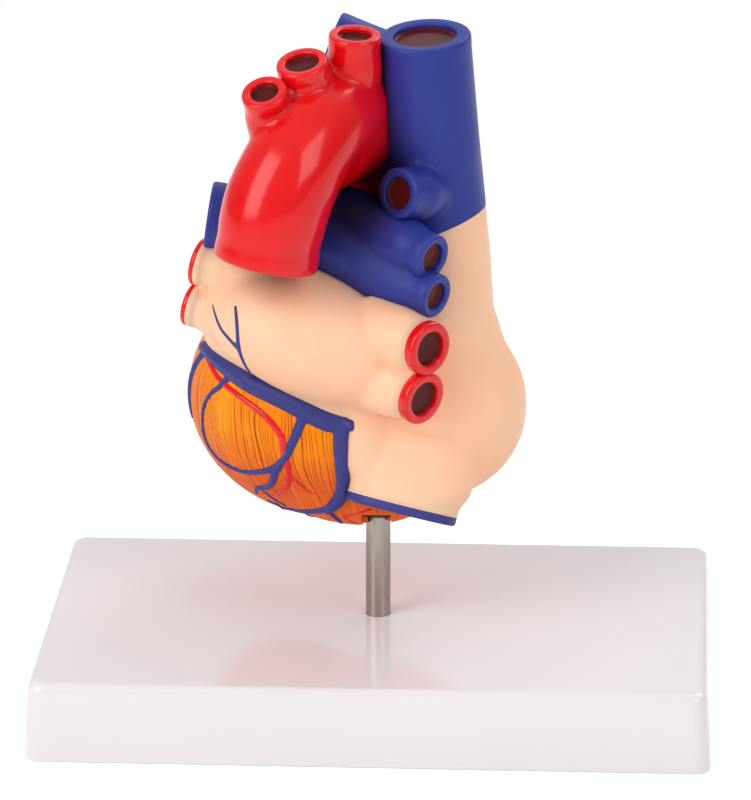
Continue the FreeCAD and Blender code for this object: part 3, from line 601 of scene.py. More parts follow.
for route in ATRIA_EDGES:
    add_vessel(bm, route, cut=False)
bm = melt(bm, 1.2, 22)
for _, flat, _, route in GREAT_VEINS.values():
    add_vessel(bm, route, sides=56, flat=flat)
for route in LEFT_VEINS + RIGHT_VEINS:
    add_vessel(bm, route)
bm = melt(bm, 0.6, 26)
for wall, flat, paint, route in GREAT_VEINS.values():
    cut_end(bm, route, wall, flat, paint)
for side, routes, height in (("left", LEFT_VEINS, 1.3), ("right", RIGHT_VEINS, 2.5)):
    lips = bmesh.new()
    for route in routes:
        cut_end(bm, route, WALL)
        add_painted_lip(lips, route, WALL, height)
    finish_piece(shaped_object(lips, f"{side}_lung_vein_lips", [ARTERY_RED]), "heart", "artery_red",
                 f"{side}_pulmonary_veins")
atria_tree = BVHTree.FromBMesh(bm)

# %% The paint's edge parts the blue vein from the flesh-coloured atria
PAINT_EDGE = Vector((14, 6, 73.2))
PAINT_NORMAL = Vector((-0.4, 0, 1)).normalized()
VEIN_SIDE_X = -2  # the upper vein lies to the right of this, and its left stub above the height below
STUB_SIDE_HEIGHT = 95


def keep_side(bm, keep_above):
    """Keeps the skin on one side of the paint's edge, near the upper vein only, and closes it by a cap."""
    geom = bm.verts[:] + bm.edges[:] + bm.faces[:]
    bmesh.ops.bisect_plane(bm, geom=geom, dist=1e-4, plane_co=PAINT_EDGE, plane_no=PAINT_NORMAL)
    doomed = []
    for face in bm.faces:
        middle = face.calc_center_median()
        above = (middle - PAINT_EDGE).dot(PAINT_NORMAL) > 0
        above = above and (middle.x > VEIN_SIDE_X or middle.z > STUB_SIDE_HEIGHT)
        if above != keep_above:
            doomed.append(face)
    bmesh.ops.delete(bm, geom=doomed, context="FACES")
    bmesh.ops.edgeloop_fill(bm, edges=[edge for edge in bm.edges if edge.is_boundary])
    return bm


vein_part = keep_side(bm.copy(), True)
flesh_part = keep_side(bm, False)
# The muscle has a hollow chamber on the left and one on the right. Atrium skin that would bulge into one
# is pressed back, to just behind the chamber's lining. Each chamber is given by its middle and half size.
LEFT_CHAMBER = (Vector((-27, 13, 31)), Vector((12, 14, 22)))
RIGHT_CHAMBER = (Vector((6, 22, 28)), Vector((13, 14, 22)))
BEHIND_LINING = 0.6
for centre, half in (LEFT_CHAMBER, RIGHT_CHAMBER):
    for vert in flesh_part.verts:
        offset = vert.co - centre
        share = Vector(o / (h + BEHIND_LINING) for o, h in zip(offset, half)).length
        if 0.01 < share < 1:
            vert.co = centre + offset / share
finish_piece(shaped_object(vein_part, "upper_caval_vein_skin", [VEIN_BLUE]), "heart", "vein_blue",
             "superior_vena_cava", "azygos_vein", "left_brachiocephalic_vein")
finish_piece(shaped_object(flesh_part, "atria_skin", [FLESH, CARDIAC_BLUE]), "heart", "flesh_vinyl",
             "left_atrium", "right_atrium", "inferior_vena_cava")

# %% [markdown]
# The plugs are poured dark red lacquer. It creeps up the wall of the recess as it dries, so each disc is
# a shallow dish with a thin raised rim that catches small highlights.

# %% Dark plugs
PLUG_GLOSS, tree, shader, place = new_finish("dark_red_lacquer", {"IOR": 1.3, "Specular IOR Level": 0.25})
fill(shader, {"Base Color": two_shades(tree, place, 4, 3, "#4A1416", "#5E1A1A", 0.35, 0.7)})
gloss_and_relief(tree, shader, place, 0.14, 0.24, 0.5, 0.4)
DISH = [(0, 0.1 - RECESS), (-0.02, -1.15), (0.12, -1.32), (0.45, -1.5), (1.1, -1.58)]  # inset, height
bm = bmesh.new()
for start, out, radius, flat in PLUGS:
    bridge(bm, [ring(bm, start + out * height, out, radius - inset, flat=flat) for inset, height in DISH])
finish_piece(shaped_object(bm, "vessel_plug_dishes", [PLUG_GLOSS], sharp=70), "heart", "dark_red_gloss",
             "vessel_plugs")

# %% [markdown]
# The muscle of the ventricles. Its fibres are modelled as fine grooves that run down from the base of
# the heart like the ribs of a fan, and brown-orange wash is wiped into them, most of it towards the tip.
# A field gives every point the number of the fibre that it lies on. The same field cuts the grooves into
# the mesh, and goes with the mesh as an attribute, so that the wash follows the grooves exactly.

# %% The field of fibres
MIDDLE_X, MIDDLE_Y = -11, 15
GIRTH = 37  # radius by which an angle round the mass is turned to millimetres across it
FIBRE_PITCH = 1.25  # from one fibre to the next, low on the heart
BACK_POLE = (-40, 400)  # where the fan of the back starts: millimetres across, height
FRONT_POLE = (32, 84)
POLE_FOOT = 20  # the pitch is true at this height
BEND_BELOW = 26  # below this height the fibres sweep to the right
SWEEP = 0.009
GROOVE_DEPTH = 0.13
GROOVE_SHARE = 0.4  # width of a groove as a share of half a fibre


def fibre_field(points, front):
    """The fibre number, and how far the grooves show, for an array of points in millimetres."""
    x, y, height = points.T
    angle = np.arctan2(x - MIDDLE_X, (y - MIDDLE_Y) * (1 if front else -1))
    across = MIDDLE_X + GIRTH * angle
    pole_across, pole_height = FRONT_POLE if front else BACK_POLE
    drop = np.clip(BEND_BELOW - height, 0, None)
    right_half = np.clip((across + 30) / 16, 0, 1)
    bend = 0 if front else SWEEP * drop ** 2 * right_half
    fan = np.arctan2(across - pole_across - bend, pole_height - height)
    wobble = 0.35 * np.sin(height * 0.19 + across * 0.11) + 0.22 * np.sin(height * 0.43 + across * 0.37 + 1)
    wobble *= 0.45 if front else 1
    number = fan * (pole_height - POLE_FOOT) / FIBRE_PITCH + wobble
    number += 0.45 * np.sin(number * 1.31) + 0.3 * np.sin(number * 0.47 + 2)  # fibres of unequal width
    start = 37 + 4 * np.sin(np.floor(number) * 12.9898) + 2 * np.sin(across * 0.23)  # of each fibre
    shown = np.clip((start - height) / 9, 0.05, 1)
    middle = np.clip((np.hypot(x - MIDDLE_X, y - MIDDLE_Y) - 7) / 10, 0, 1)  # plain where the fan closes
    tip = np.clip((height - 1) / 8, 0.3, 1)
    return number, shown * middle * tip


MUSCLE_MASSES = [
    ((-10.8, 15, 28), (36.2, 33, 31)), ((-3, 9, 19), (28, 21, 20.5)), ((-24, 30, 14), (19, 20, 17)),
    ((-4, -2, 8.2), (19, 10, 8.7)),  # low swelling round the rod
]


def muscle_mass(front):
    """The outer mass of both ventricles with its grooves, as a bmesh, and a search tree of it."""
    bm = bmesh.new()
    for mass in MUSCLE_MASSES:
        add_blob(bm, *mass)
    bm = melt(melt(bm, 1.3, 25), 0.4, 5)
    tree = BVHTree.FromBMesh(bm)
    number, shown = fibre_field(np.array([v.co for v in bm.verts]), front)
    ridge = np.abs(number - np.floor(number) - 0.5) * 2
    deep = np.exp(-((1 - ridge) / GROOVE_SHARE) ** 2) * GROOVE_DEPTH * shown
    bm.normal_update()
    for vert, depth in zip(bm.verts, deep):
        vert.co -= vert.normal * float(depth)
    return bm, tree


back_mass, back_tree = muscle_mass(False)
front_mass, front_tree = muscle_mass(True)
print("muscle skin:", len(back_mass.verts), "points")

# %% [markdown]
# The walls are cut as the real casting is: a knife face in front, and two hollow chambers whose lining
# carries ropes of muscle. Booleans with the manifold solver are exact and quick on such closed skins.
# The front wall's knife face has a thin raised rim, so that no light shows through the joint. Afterwards
# every face is told by its place whether it is outer skin, knife face or lining.

# %% Cutting the two halves
JOINT_FACE = 18
JOINT_GAP = 0.3
SKIN_CLEARANCE = 0.06  # the knife faces lie this much behind the magnets' faces
WALL_TOP = 45
FAR = 120
RIM_GAP = 0.12  # the thin rim round the front wall's knife face comes this near to the back
RIM_SHARE = 0.965  # size of the recessed field inside the rim, as a share of the whole outline
ROD_HOLE = 3.4
PIN_HOLE = 1.5
PIN_PLACES = [(-38, 13.5), (-11.2, 30)]


def box_between(low, high):
    """A box between two corners."""
    bm = bmesh.new()
    low, high = Vector(low), Vector(high)
    sized = Matrix.Translation((low + high) / 2) @ Matrix.Diagonal((*(high - low), 1))
    bmesh.ops.create_cube(bm, size=1, matrix=sized)
    return bm


def rod_between(low, high, radius, sides=48):
    """A round bar between two points."""
    low, high = Vector(low), Vector(high)
    bm = bmesh.new()
    bmesh.ops.create_cone(bm, cap_ends=True, segments=sides, radius1=radius, radius2=radius,
                          depth=(high - low).length, matrix=upright_on((low + high) / 2, high - low))
    return bm


def roped_chamber(centre, half, ropes):
    """A hollow's shape: a stretched sphere with upright furrows pressed in for its muscle ropes."""
    bm = bmesh.new()
    verts = add_blob(bm, centre, half, detail=6)
    bm.normal_update()
    for vert in verts:
        offset = vert.co - centre
        warp = noise.noise(vert.co * 0.09) * 2.2
        rope = abs(math.sin(math.atan2(offset.x, offset.y) * ropes / 2 + warp)) ** 0.7
        lumps = noise.noise(vert.co * 0.35) * 0.35
        vert.co -= vert.normal * (1.3 - 1.1 * rope + lumps) * 0.8
    return bm


def chambers():
    return [roped_chamber(*LEFT_CHAMBER, 19), roped_chamber(*RIGHT_CHAMBER, 21)]


def boolean(base, tools, operation="DIFFERENCE"):
    """Cuts or trims a closed bmesh by others, and returns the result as a new bmesh."""
    holders = [holder_of(part) for part in [base, *tools]]
    for tool in holders[1:]:
        cut = holders[0].modifiers.new("cut", "BOOLEAN")
        cut.solver = "MANIFOLD"
        cut.operation = operation
        cut.object = tool
    return applied(holders)


back_face = JOINT_FACE - SKIN_CLEARANCE
front_face = JOINT_FACE + JOINT_GAP + SKIN_CLEARANCE
rim_face = back_face + RIM_GAP
rod_hole = rod_between((0, 0, -10), (0, 0, 17), ROD_HOLE)
rod_notch = box_between((-3.5, -30, -10), (3.5, -2.4, 1.9))  # the hole breaks out of the skin on this side
for vert in rod_notch.verts:
    if vert.co.z > 0 and vert.co.y < -3:
        vert.co.z += 9
ahead_of_joint = box_between((-FAR, back_face, -FAR), (FAR, FAR, WALL_TOP))
back_mass = boolean(back_mass, [ahead_of_joint, *chambers(), rod_hole, rod_notch])
field = front_mass.copy()
middle = Matrix.Translation((MIDDLE_X, 0, 22))
field.transform(middle @ Matrix.Diagonal((RIM_SHARE, 1, RIM_SHARE, 1)) @ middle.inverted())
field = boolean(field, [box_between((-FAR, 0, -FAR), (FAR, front_face, WALL_TOP - 2))], "INTERSECT")
kept = box_between((-FAR, rim_face, -FAR), (FAR, FAR, WALL_TOP - JOINT_GAP))
front_mass = boolean(boolean(front_mass, [kept], "INTERSECT"), [field])
pins = [((x, JOINT_FACE - 1, h), (x, JOINT_FACE + 3.6, h)) for x, h in PIN_PLACES]
front_mass = boolean(front_mass, [*chambers(), *(rod_between(*pin, PIN_HOLE, 24) for pin in pins)])
print("back", len(back_mass.faces), "front", len(front_mass.faces), "faces")

# %% [markdown]
# Muscle paint. The casting is sprayed a warm amber, misted with salmon towards the tip and the left
# edge, and the wash in the grooves is a burnt orange. The knife faces show the cut flesh with a paler
# grain, and each chamber has its own lining, redder on the left and cooler on the right.

# %% Paints of the muscle
MUSCLE, tree, shader, place = new_finish("amber_muscle_paint", {"IOR": 1.5, "Specular IOR Level": 0.14})
parts = node(tree, "SeparateXYZ", place).outputs
cloud = node(tree, "TexNoise", place, per_mm(11), 4)
patches = node(tree, "MapRange", cloud, 0.4, 0.62)
amber = node(tree, "Mix", patches, "#F38602", "#F9A204", data_type="RGBA")
tip_mist = ((HEART_FOOT + 27) * MM, (HEART_FOOT + 8) * MM)
low_down = node(tree, "MapRange", parts["Z"], *tip_mist, interpolation_type="SMOOTHSTEP")
tint_share = node(tree, "MapRange", node(tree, "Math", low_down, cloud), 0.45, 1.35)
salmon = node(tree, "Mix", tint_share, amber, "#F06A2A", data_type="RGBA")
left_edge = node(tree, "MapRange", parts["X"], -38 * MM, -47 * MM, interpolation_type="SMOOTHSTEP")
misted = node(tree, "Mix", left_edge, salmon, "#EE7828", data_type="RGBA")
# The wash follows the fibres: it sits between two of them, more in some than in others, and breaks off.
number = node(tree, "Attribute", attribute_name="fibre").outputs["Fac"]
shown = node(tree, "Attribute", attribute_name="shown").outputs["Fac"]
phase = node(tree, "Math", number, operation="FRACT")
off_ridge = node(tree, "Math", phase, 0.5, operation="SUBTRACT")
aside = node(tree, "Math", off_ridge, operation="ABSOLUTE")
groove = node(tree, "MapRange", aside, 0.3, 0.44, interpolation_type="SMOOTHSTEP")
strand = node(tree, "Math", number, operation="FLOOR")
chance = node(tree, "TexWhiteNoise", strand, noise_dimensions="1D")
broken = node(tree, "TexNoise", place, per_mm(6), 1)
wet = node(tree, "MapRange", broken, 0.3, 0.48, 0.35, 1)
strength = node(tree, "MapRange", chance, 0, 1, 0.4, 1)
ridge_tint = node(tree, "MapRange", chance, 0, 1, 0, 0.55)
tinted = node(tree, "Math", ridge_tint, shown, operation="MULTIPLY")
ridges = node(tree, "Mix", tinted, misted, "#E86A08", data_type="RGBA")
wash = node(tree, "Math", groove, shown, operation="MULTIPLY")
for factor in (strength, wet):
    wash = node(tree, "Math", wash, factor, operation="MULTIPLY")
fill(shader, {"Base Color": node(tree, "Mix", wash, ridges, "#962A06", data_type="RGBA")})
gloss_and_relief(tree, shader, place, 0.36, 0.48, waves=0.4)

CUT_MUSCLE = painted_vinyl("cut_muscle_paint", "#E98A66", "#F0A07C", "#C25A3C", "#F6B494", 0.42, 0.55)
LEFT_LINING = painted_vinyl("left_chamber_lining", "#C9443A", "#D65A4A", "#8E2420", "#E87A66", 0.3, 0.42)
RIGHT_LINING = painted_vinyl("right_chamber_lining", "#7C4A78", "#8A5885", "#4E2C54", "#A87AA0", 0.3, 0.42)


def values_of(items, name):
    """One vector per mesh element, as an array of three columns."""
    flat = np.empty(len(items) * 3)
    items.foreach_get(name, flat)
    return flat.reshape(-1, 3)


def finish_muscle(bm, name, node_name, body, front, knife):
    """Sorts the faces by place, adds the fibre attributes and makes the finished piece."""
    thing = shaped_object(bm, name, [MUSCLE, CUT_MUSCLE, LEFT_LINING, RIGHT_LINING], to_frame=Matrix())
    mesh = thing.data
    centres = values_of(mesh.polygons, "center")
    x, y, height = centres.T
    level_faces = np.abs(values_of(mesh.polygons, "normal")[:, 1]) > 0.9
    paint = np.zeros(len(centres), dtype=np.int32)
    for index, (centre, half) in ((2, LEFT_CHAMBER), (3, RIGHT_CHAMBER)):
        share = (((centres - np.array(centre)) / np.array(half)) ** 2).sum(axis=1)
        paint[share < 1.08] = index
    for level in (knife, rim_face):
        paint[(np.abs(y - level) < 0.02) & level_faces] = 1
    paint[(np.abs(height - (WALL_TOP - JOINT_GAP * front)) < 0.02) & (y > knife)] = 1
    paint[np.hypot(x, y) < ROD_HOLE + 0.05] = 1
    mesh.polygons.foreach_set("material_index", paint)
    number, shown = fibre_field(values_of(mesh.vertices, "co"), front)
    for label, values in (("fibre", number), ("shown", shown)):
        mesh.attributes.new(label, "FLOAT", "POINT").data.foreach_set("value", values.astype(np.float32))
    mesh.transform(FROM_FOOT)
    finish_piece(thing, body, "muscle_orange", node_name)


finish_muscle(back_mass, "muscle_back", "ventricles_back", "heart", False, back_face)
finish_muscle(front_mass, "muscle_front_wall", "ventricles_front", "front_wall", True, front_face)

# %% [markdown]
# The heart's own vessels lie on it as low, rounded ribbons of the casting and are painted by hand. Each
# is drawn as a line of points near the surface. The line is laid on the skin along one direction, and a
# tube is sunk below it, so deep that only a flat crown of it stands out. Ribbons of one colour that join
# are melted together, which rounds their forks.

# %% Tools for ribbons on the surface
FROM_BACK = Vector((0.05, -0.95, 0.3))
FROM_FRONT = Vector((-0.1, 0.97, 0.2)).normalized()
FROM_LEFT = Vector((-0.9, -0.4, 0.2)).normalized()


def lay(point, side, trees):
    """The outermost point of the skins in line with a point, seen from a side, and the normal there."""
    hits = [hit for hit in (tree.ray_cast(point + side * 60, -side) for tree in trees) if hit[0]]
    if not hits:
        hits = [tree.find_nearest(point) for tree in trees]
    best = min(hits, key=lambda hit: hit[3])
    return best[0], best[1]


def add_ribbon(bm, route, relief, side, trees):
    """A tube along a route of x, y, height and half width, whose crown stands out of the skin by relief."""
    centres, radii = [], []
    for place, width in zip(*curve_points(route)):
        crown = min(relief, width * 0.85)
        radius = (width ** 2 + crown ** 2) / (2 * crown)
        spot, normal = lay(place, side, trees)
        centres.append(spot - normal * (radius - crown))
        radii.append(radius)
    for _ in range(2):
        inner = [(a + b * 2 + c) / 4 for a, b, c in zip(centres, centres[1:], centres[2:])]
        centres = [centres[0], *inner, centres[-1]]
    add_tube(bm, centres, radii, 14)


def ribbons(name, plan, side, trees, voxel, material, body, slot, *nodes):
    """One piece of joined ribbons. Its plan gives the routes for each relief."""
    bm = bmesh.new()
    for relief, routes in plan.items():
        for route in routes:
            add_ribbon(bm, route, relief, side, trees)
    finish_piece(shaped_object(melt(bm, voxel, 4), name, [material]), body, slot, *nodes)


# %% [markdown]
# On the back, the great vein's sinus lies in the groove under the left atrium, turns a corner and runs
# down as the middle vein. Thinner veins loop over the left half, and arteries cross under them. Every
# plan gives, for each height of relief, its routes of x, y, height and half width.

# %% Vessels of the back
back_skins = [back_tree, atria_tree]
BACK_VEINS = {
    1.3: [
        [(-42.6, 6, 41.2, 1.6), (-40.5, 1, 41, 1.9), (-37.1, -4, 39.9, 2.1), (-33.6, -8, 38.6, 2.3),
         (-29.4, -12, 37.4, 2.4), (-24.4, -14.5, 35.9, 2.5), (-19.6, -16, 34.1, 2.6),
         (-15.3, -17, 32, 2.6), (-10.5, -17.5, 30, 2.6), (-6.5, -18, 29.4, 2.1)],
        [(-8.6, -18, 29.6, 2.3), (-6.5, -18, 29.5, 2), (-4.8, -18, 29.3, 1.2)],
    ],
    1.4: [
        [(-7.6, -18, 28.7, 2.1), (-7.9, -17.5, 25.5, 1.9), (-7.8, -17, 21.6, 1.85),
         (-7.6, -16, 17.6, 1.85), (-7.5, -14, 13.1, 1.85), (-8.4, -11, 9.4, 1.8), (-10.2, -8, 6.1, 1.6),
         (-12.3, -6, 3.8, 1.1)],
    ],
    0.8: [
        [(-12, -6, 4.4, 1), (-15.2, -5, 3.5, 0.8), (-18.2, -4, 3.2, 0.7), (-21.2, -3, 3.3, 0.6),
         (-24.9, -2, 3.3, 0.5), (-27.6, -1, 3.9, 0.3)],
        [(-35.3, -7.8, 38, 1.1), (-37.6, -6.5, 35, 0.8), (-40.3, -4.7, 32.2, 0.6),
         (-42.2, -2.6, 25.8, 0.6), (-40.4, -1.8, 17.7, 0.6), (-34.5, -5.8, 14.2, 0.65),
         (-27.6, -11.6, 15.4, 0.8), (-22.7, -14.8, 18.4, 1), (-19.8, -16.7, 23.9, 1.1),
         (-17.2, -17.4, 30.5, 1.3), (-16.4, -17.4, 32.4, 1.7)],
        [(-22.7, -14.8, 18.4, 1.1), (-24.3, -12, 15, 1), (-25, -9, 12, 0.95), (-26.7, -7, 9.9, 0.9),
         (-28.9, -6, 9.4, 0.7), (-29.2, -4, 7.2, 0.4)],
        [(-27.6, -6, 8.8, 0.4), (-25.1, -5, 6.6, 0.45), (-22, -4, 4.3, 0.4)],
        [(-17.6, -3, 3, 0.6), (-16, -1, 0.3, 0.55), (-14.5, 2, -2.1, 0.4)],
        [(-11.9, -5, 3.8, 0.7), (-9.6, -2, 0.6, 0.6), (-7.4, 1, -2.1, 0.6), (-3.9, 3, -3.1, 0.4)],
    ],
}
ribbons("back_veins", BACK_VEINS, FROM_BACK, back_skins, 0.26, CARDIAC_BLUE, "heart", "cardiac_vein_blue",
        "coronary_sinus", "middle_cardiac_vein", "posterior_ventricular_vein")
MARGIN_VEIN = {
    0.8: [
        [(-40.4, 3, 41.6, 1.8), (-41.8, 4.4, 40.8, 1.7), (-43.7, 6.2, 38, 1.3), (-45.4, 7.7, 34, 1.1),
         (-46.1, 8.2, 30, 0.9), (-46.1, 8.4, 26, 0.75), (-45.2, 8.6, 22, 0.4)],
    ],
}
ribbons("left_margin_vein", MARGIN_VEIN, FROM_LEFT, back_skins, 0.26, CARDIAC_BLUE, "heart",
        "cardiac_vein_blue")
BACK_ARTERIES = {
    0.5: [
        [(-41.3, 1.3, 39.6, 0.8), (-38.2, -4.9, 36.6, 0.85), (-35, -8, 34.8, 0.8),
         (-32, -11.1, 33.6, 0.75), (-26.3, -14.9, 30.4, 0.9), (-22.3, -16.3, 25.9, 1),
         (-21.6, -15.6, 21, 1), (-21.1, -15, 18, 0.9)],
        [(-20.9, -15.5, 19.7, 0.8), (-20.7, -13.8, 15.8, 0.75), (-21.1, -11.5, 12, 0.7),
         (-23, -8, 9.2, 0.7), (-25.2, -6.2, 7.4, 0.4)],
        [(-20.8, -12.6, 15.2, 0.5), (-18.7, -11, 12.7, 0.4), (-16.8, -9, 10.3, 0.35),
         (-14.7, -8, 8.8, 0.2)],
        [(-8.2, -4, 2.1, 0.4), (-4.2, -4, 3.1, 0.4), (-1.1, -4, 4.1, 0.3)],
        [(-8, -3, 1.4, 0.4), (-6.3, -1, -0.3, 0.35), (-3.9, 1, -1.8, 0.3)],
    ],
}
ribbons("back_arteries", BACK_ARTERIES, FROM_BACK, back_skins, 0.24, ARTERY_RED, "heart", "artery_red",
        "posterior_artery")
OBLIQUE_VEIN = {
    0.35: [
        [(-38, -22, 60.1, 0.25), (-37.2, -22, 57.2, 0.4), (-35.9, -22, 54, 0.5), (-34.2, -22, 51.8, 0.6),
         (-31.9, -22, 49.2, 0.7)],
        [(-32.4, -24, 60.4, 0.4), (-32.1, -24, 57.1, 0.5), (-31.9, -24, 53.9, 0.55),
         (-31.8, -22, 49.7, 0.7), (-31.1, -18, 45.3, 0.6), (-30.4, -15, 42.5, 0.55),
         (-29.2, -12, 39.4, 0.8), (-28.4, -12.5, 37.5, 1.4)],
    ],
}
ribbons("oblique_vein", OBLIQUE_VEIN, FROM_BACK, back_skins, 0.22, CARDIAC_BLUE, "heart",
        "cardiac_vein_blue")

# %% [markdown]
# On the front wall the descending artery runs down the groove between the chambers towards the tip, with
# the great vein beside it. The right artery bends round the right edge, and both send side twigs out.

# %% Vessels of the front wall
FRONT_VEINS = {
    0.7: [
        [(-21, 45, 43, 1.5), (-20, 47, 32, 1.4), (-22, 49, 22, 1.2), (-27, 50, 13, 0.9),
         (-30, 49, 6, 0.5)],
        [(-20, 47, 33, 0.9), (-27, 45, 29, 0.8), (-35, 40, 26, 0.6), (-41, 34, 21, 0.35)],
        [(-22, 49, 22, 0.8), (-14, 48, 16, 0.6), (-7, 46, 11, 0.3)],
    ],
}
FRONT_ARTERIES = {
    0.7: [
        [(-17, 45, 43, 1.4), (-15, 47, 32, 1.3), (-17, 49, 21, 1.1), (-23, 50, 10, 0.9),
         (-27, 49, 3, 0.5)],
        [(-16, 47, 36, 0.9), (-24, 46, 35, 0.8), (-32, 42, 33, 0.6), (-39, 37, 30, 0.35)],
        [(-15.5, 48, 28, 0.9), (-7, 48, 23, 0.7), (0, 46, 17, 0.5), (5, 44, 12, 0.3)],
        [(6, 45, 43, 1.4), (13, 42, 38, 1.4), (18, 38, 31, 1.2), (21, 33, 24, 1), (22, 27, 18, 0.6)],
        [(18, 38, 31, 0.9), (12, 42, 25, 0.8), (8, 44, 18, 0.6), (6, 44, 10, 0.35)],
    ],
}
ribbons("front_veins", FRONT_VEINS, FROM_FRONT, [front_tree], 0.26, CARDIAC_BLUE, "front_wall",
        "cardiac_vein_blue", "great_cardiac_vein")
ribbons("front_arteries", FRONT_ARTERIES, FROM_FRONT, [front_tree], 0.26, ARTERY_RED, "front_wall",
        "artery_red", "front_descending_artery", "right_coronary_artery")

# %% [markdown]
# The auricles are the ears of the atria: soft pouches with a scalloped edge that lean on the great
# vessels in front. Each is a row of lobes melted into one body.

# %% Auricles
AURICLES = {
    "left_auricle": [
        ((-35, 11, 57), (8.6, 7, 6.6)), ((-38, 15.5, 61), (4.2, 3.2, 3.4), (0, 0, 20)),
        ((-33, 16.5, 60.4), (4.4, 3.2, 3.6), (0, 20, 0)), ((-28.5, 16, 57.5), (3.8, 3.2, 3.8)),
        ((-40.8, 13, 56), (3.6, 4, 3.6)), ((-36.5, 16.2, 54.8), (4.4, 3, 3)),
    ],
    "right_auricle": [
        ((13, 21, 58), (10.6, 6.4, 7.6)), ((5, 25, 62), (4.6, 3.4, 3.6), (0, 20, 0)),
        ((10, 26, 64.4), (4.4, 3, 3.4)), ((16, 25.5, 64), (4.2, 3.2, 3.6)), ((20.8, 23, 60), (4, 3.6, 4)),
        ((4, 24.5, 55.5), (3.8, 3.4, 4)), ((11, 26, 54), (4.6, 3, 3.6)), ((17.5, 25, 55), (4.2, 3, 3.8)),
    ],
}
for name, lobes in AURICLES.items():
    bm = bmesh.new()
    for lobe in lobes:
        add_blob(bm, *lobe, detail=4)
    finish_piece(shaped_object(melt(bm, 0.4, 9), f"{name}_lobes", [FLESH]), "heart", "flesh_vinyl", name)

# %% [markdown]
# Inside the chambers, each inlet has a valve: a funnel of thin cream leaflets with a scalloped edge. Fine
# cords tie its edge to the papillary muscles, which are ribbed cones that grow out of the wall.

# %% Valves
CREAM_SHADES = ("#F1DFB8", "#F6E8CC", "#D4B486", "#FBF2DC")
VALVE_CREAM = painted_vinyl("valve_cream_lacquer", *CREAM_SHADES, 0.3, 0.42, coat=0.2)
VALVES = {  # middle of the mouth, direction of the flow, leaflets
    "mitral_valve": (Vector((-26, 7, 47)), Vector((-0.05, 0.35, -1)).normalized(), 2),
    "tricuspid_valve": (Vector((8, 13, 42)), Vector((-0.1, 0.6, -1)).normalized(), 3),
}
FUNNEL = [(9, 0), (8.3, 1), (7.4, 2.4), (6.5, 4), (5.6, 5.8), (4.7, 7.6)]  # radius, distance along the flow
LEAFLET = 0.7
SCALLOP = 3.4  # how far the edge is drawn back between two leaflets


def trim_front(bm, behind):
    """Cuts off what stands farther forward than this much behind the joint's face."""
    bmesh.ops.bisect_plane(bm, geom=bm.verts[:] + bm.edges[:] + bm.faces[:], dist=1e-4,
                           plane_co=(0, JOINT_FACE - behind, 0), plane_no=(0, 1, 0), clear_outer=True)


for name, (centre, ahead, leaflets) in VALVES.items():
    bm = bmesh.new()
    rings = []
    for radius, along in FUNNEL:
        rings.append(ring(bm, Vector((0, 0, along)), (0, 0, 1), radius, sides=72))
        share = along / FUNNEL[-1][1]
        for vert in {vert for edge in rings[-1] for vert in edge.verts}:
            angle = math.atan2(vert.co.y, vert.co.x)
            gap = abs(math.cos(angle * leaflets / 2)) ** 0.5
            ruffle = math.sin(angle * leaflets * 5) * 0.25 * share
            vert.co.z -= (1 - gap) * SCALLOP * share
            vert.co.xy *= 1 + (ruffle + (1 - gap) * 0.8 * share) / radius
    bridge(bm, rings, filled=False)
    bmesh.ops.transform(bm, matrix=upright_on(centre, ahead), verts=bm.verts)
    trim_front(bm, 1)
    bmesh.ops.recalc_face_normals(bm, faces=bm.faces)
    bmesh.ops.solidify(bm, geom=bm.faces[:], thickness=LEAFLET)
    finish_piece(shaped_object(bm, f"{name}_leaflets", [VALVE_CREAM]), "heart", "valve_cream", name)

# %% Papillary muscles and cords
MUSCLE_RED = painted_vinyl("papillary_muscle_paint", "#D9543E", "#E26A4E", "#9E2E22", "#F08E70", 0.32, 0.44)
PAPILLARY = [  # foot, tip, the valve that it holds
    ((-36, 7, 14), (-32, 9.5, 25), "mitral_valve"), ((-20, 6, 12), (-22.5, 9, 24), "mitral_valve"),
    ((14, 14, 9), (10.5, 14, 20), "tricuspid_valve"), ((-2, 13, 12), (2.5, 13.5, 21), "tricuspid_valve"),
]
RIBS = CORDS = 5
muscles, cords = bmesh.new(), bmesh.new()
for foot, tip, valve in PAPILLARY:
    foot, tip = Vector(foot), Vector(tip)
    rise = (tip - foot).normalized()
    add_tube(muscles, [foot, foot.lerp(tip, 0.35), foot.lerp(tip, 0.7), tip], [4.6, 3.3, 2.5, 1.5], 20)
    for index in range(RIBS):
        arm = Matrix.Rotation(math.tau * index / RIBS, 3, rise) @ rise.orthogonal().normalized()
        rib = [foot + arm * 3.9, foot.lerp(tip, 0.5) + arm * 2.2, tip + arm * 0.5]
        add_tube(muscles, rib, [1.5, 1.1, 0.6], 10)
    centre, ahead, _ = VALVES[valve]
    rim = centre + ahead * 6.6
    flat = tip - rim - ahead * (tip - rim).dot(ahead)
    for index in range(CORDS):
        aside = Matrix.Rotation(math.radians((index - 2) * 24), 3, ahead) @ flat.normalized()
        end = rim + aside * 4.9
        bend = tip.lerp(end, 0.5) + rise * 0.4 + aside * 0.5
        cord = [(*(tip - rise * 0.6), 0.5), (*bend, 0.32), (*end, 0.42)]
        add_tube(cords, *curve_points(cord, 6), 8)
muscles = melt(muscles, 0.35, 4)
for bm in (muscles, cords):
    trim_front(bm, 0.4)
    bmesh.ops.holes_fill(bm, edges=[edge for edge in bm.edges if edge.is_boundary])
finish_piece(shaped_object(muscles, "papillary_cones", [MUSCLE_RED]), "heart", "muscle_orange",
             "papillary_muscles")
finish_piece(shaped_object(cords, "valve_cords", [VALVE_CREAM]), "heart", "valve_cream", "tendinous_cords")

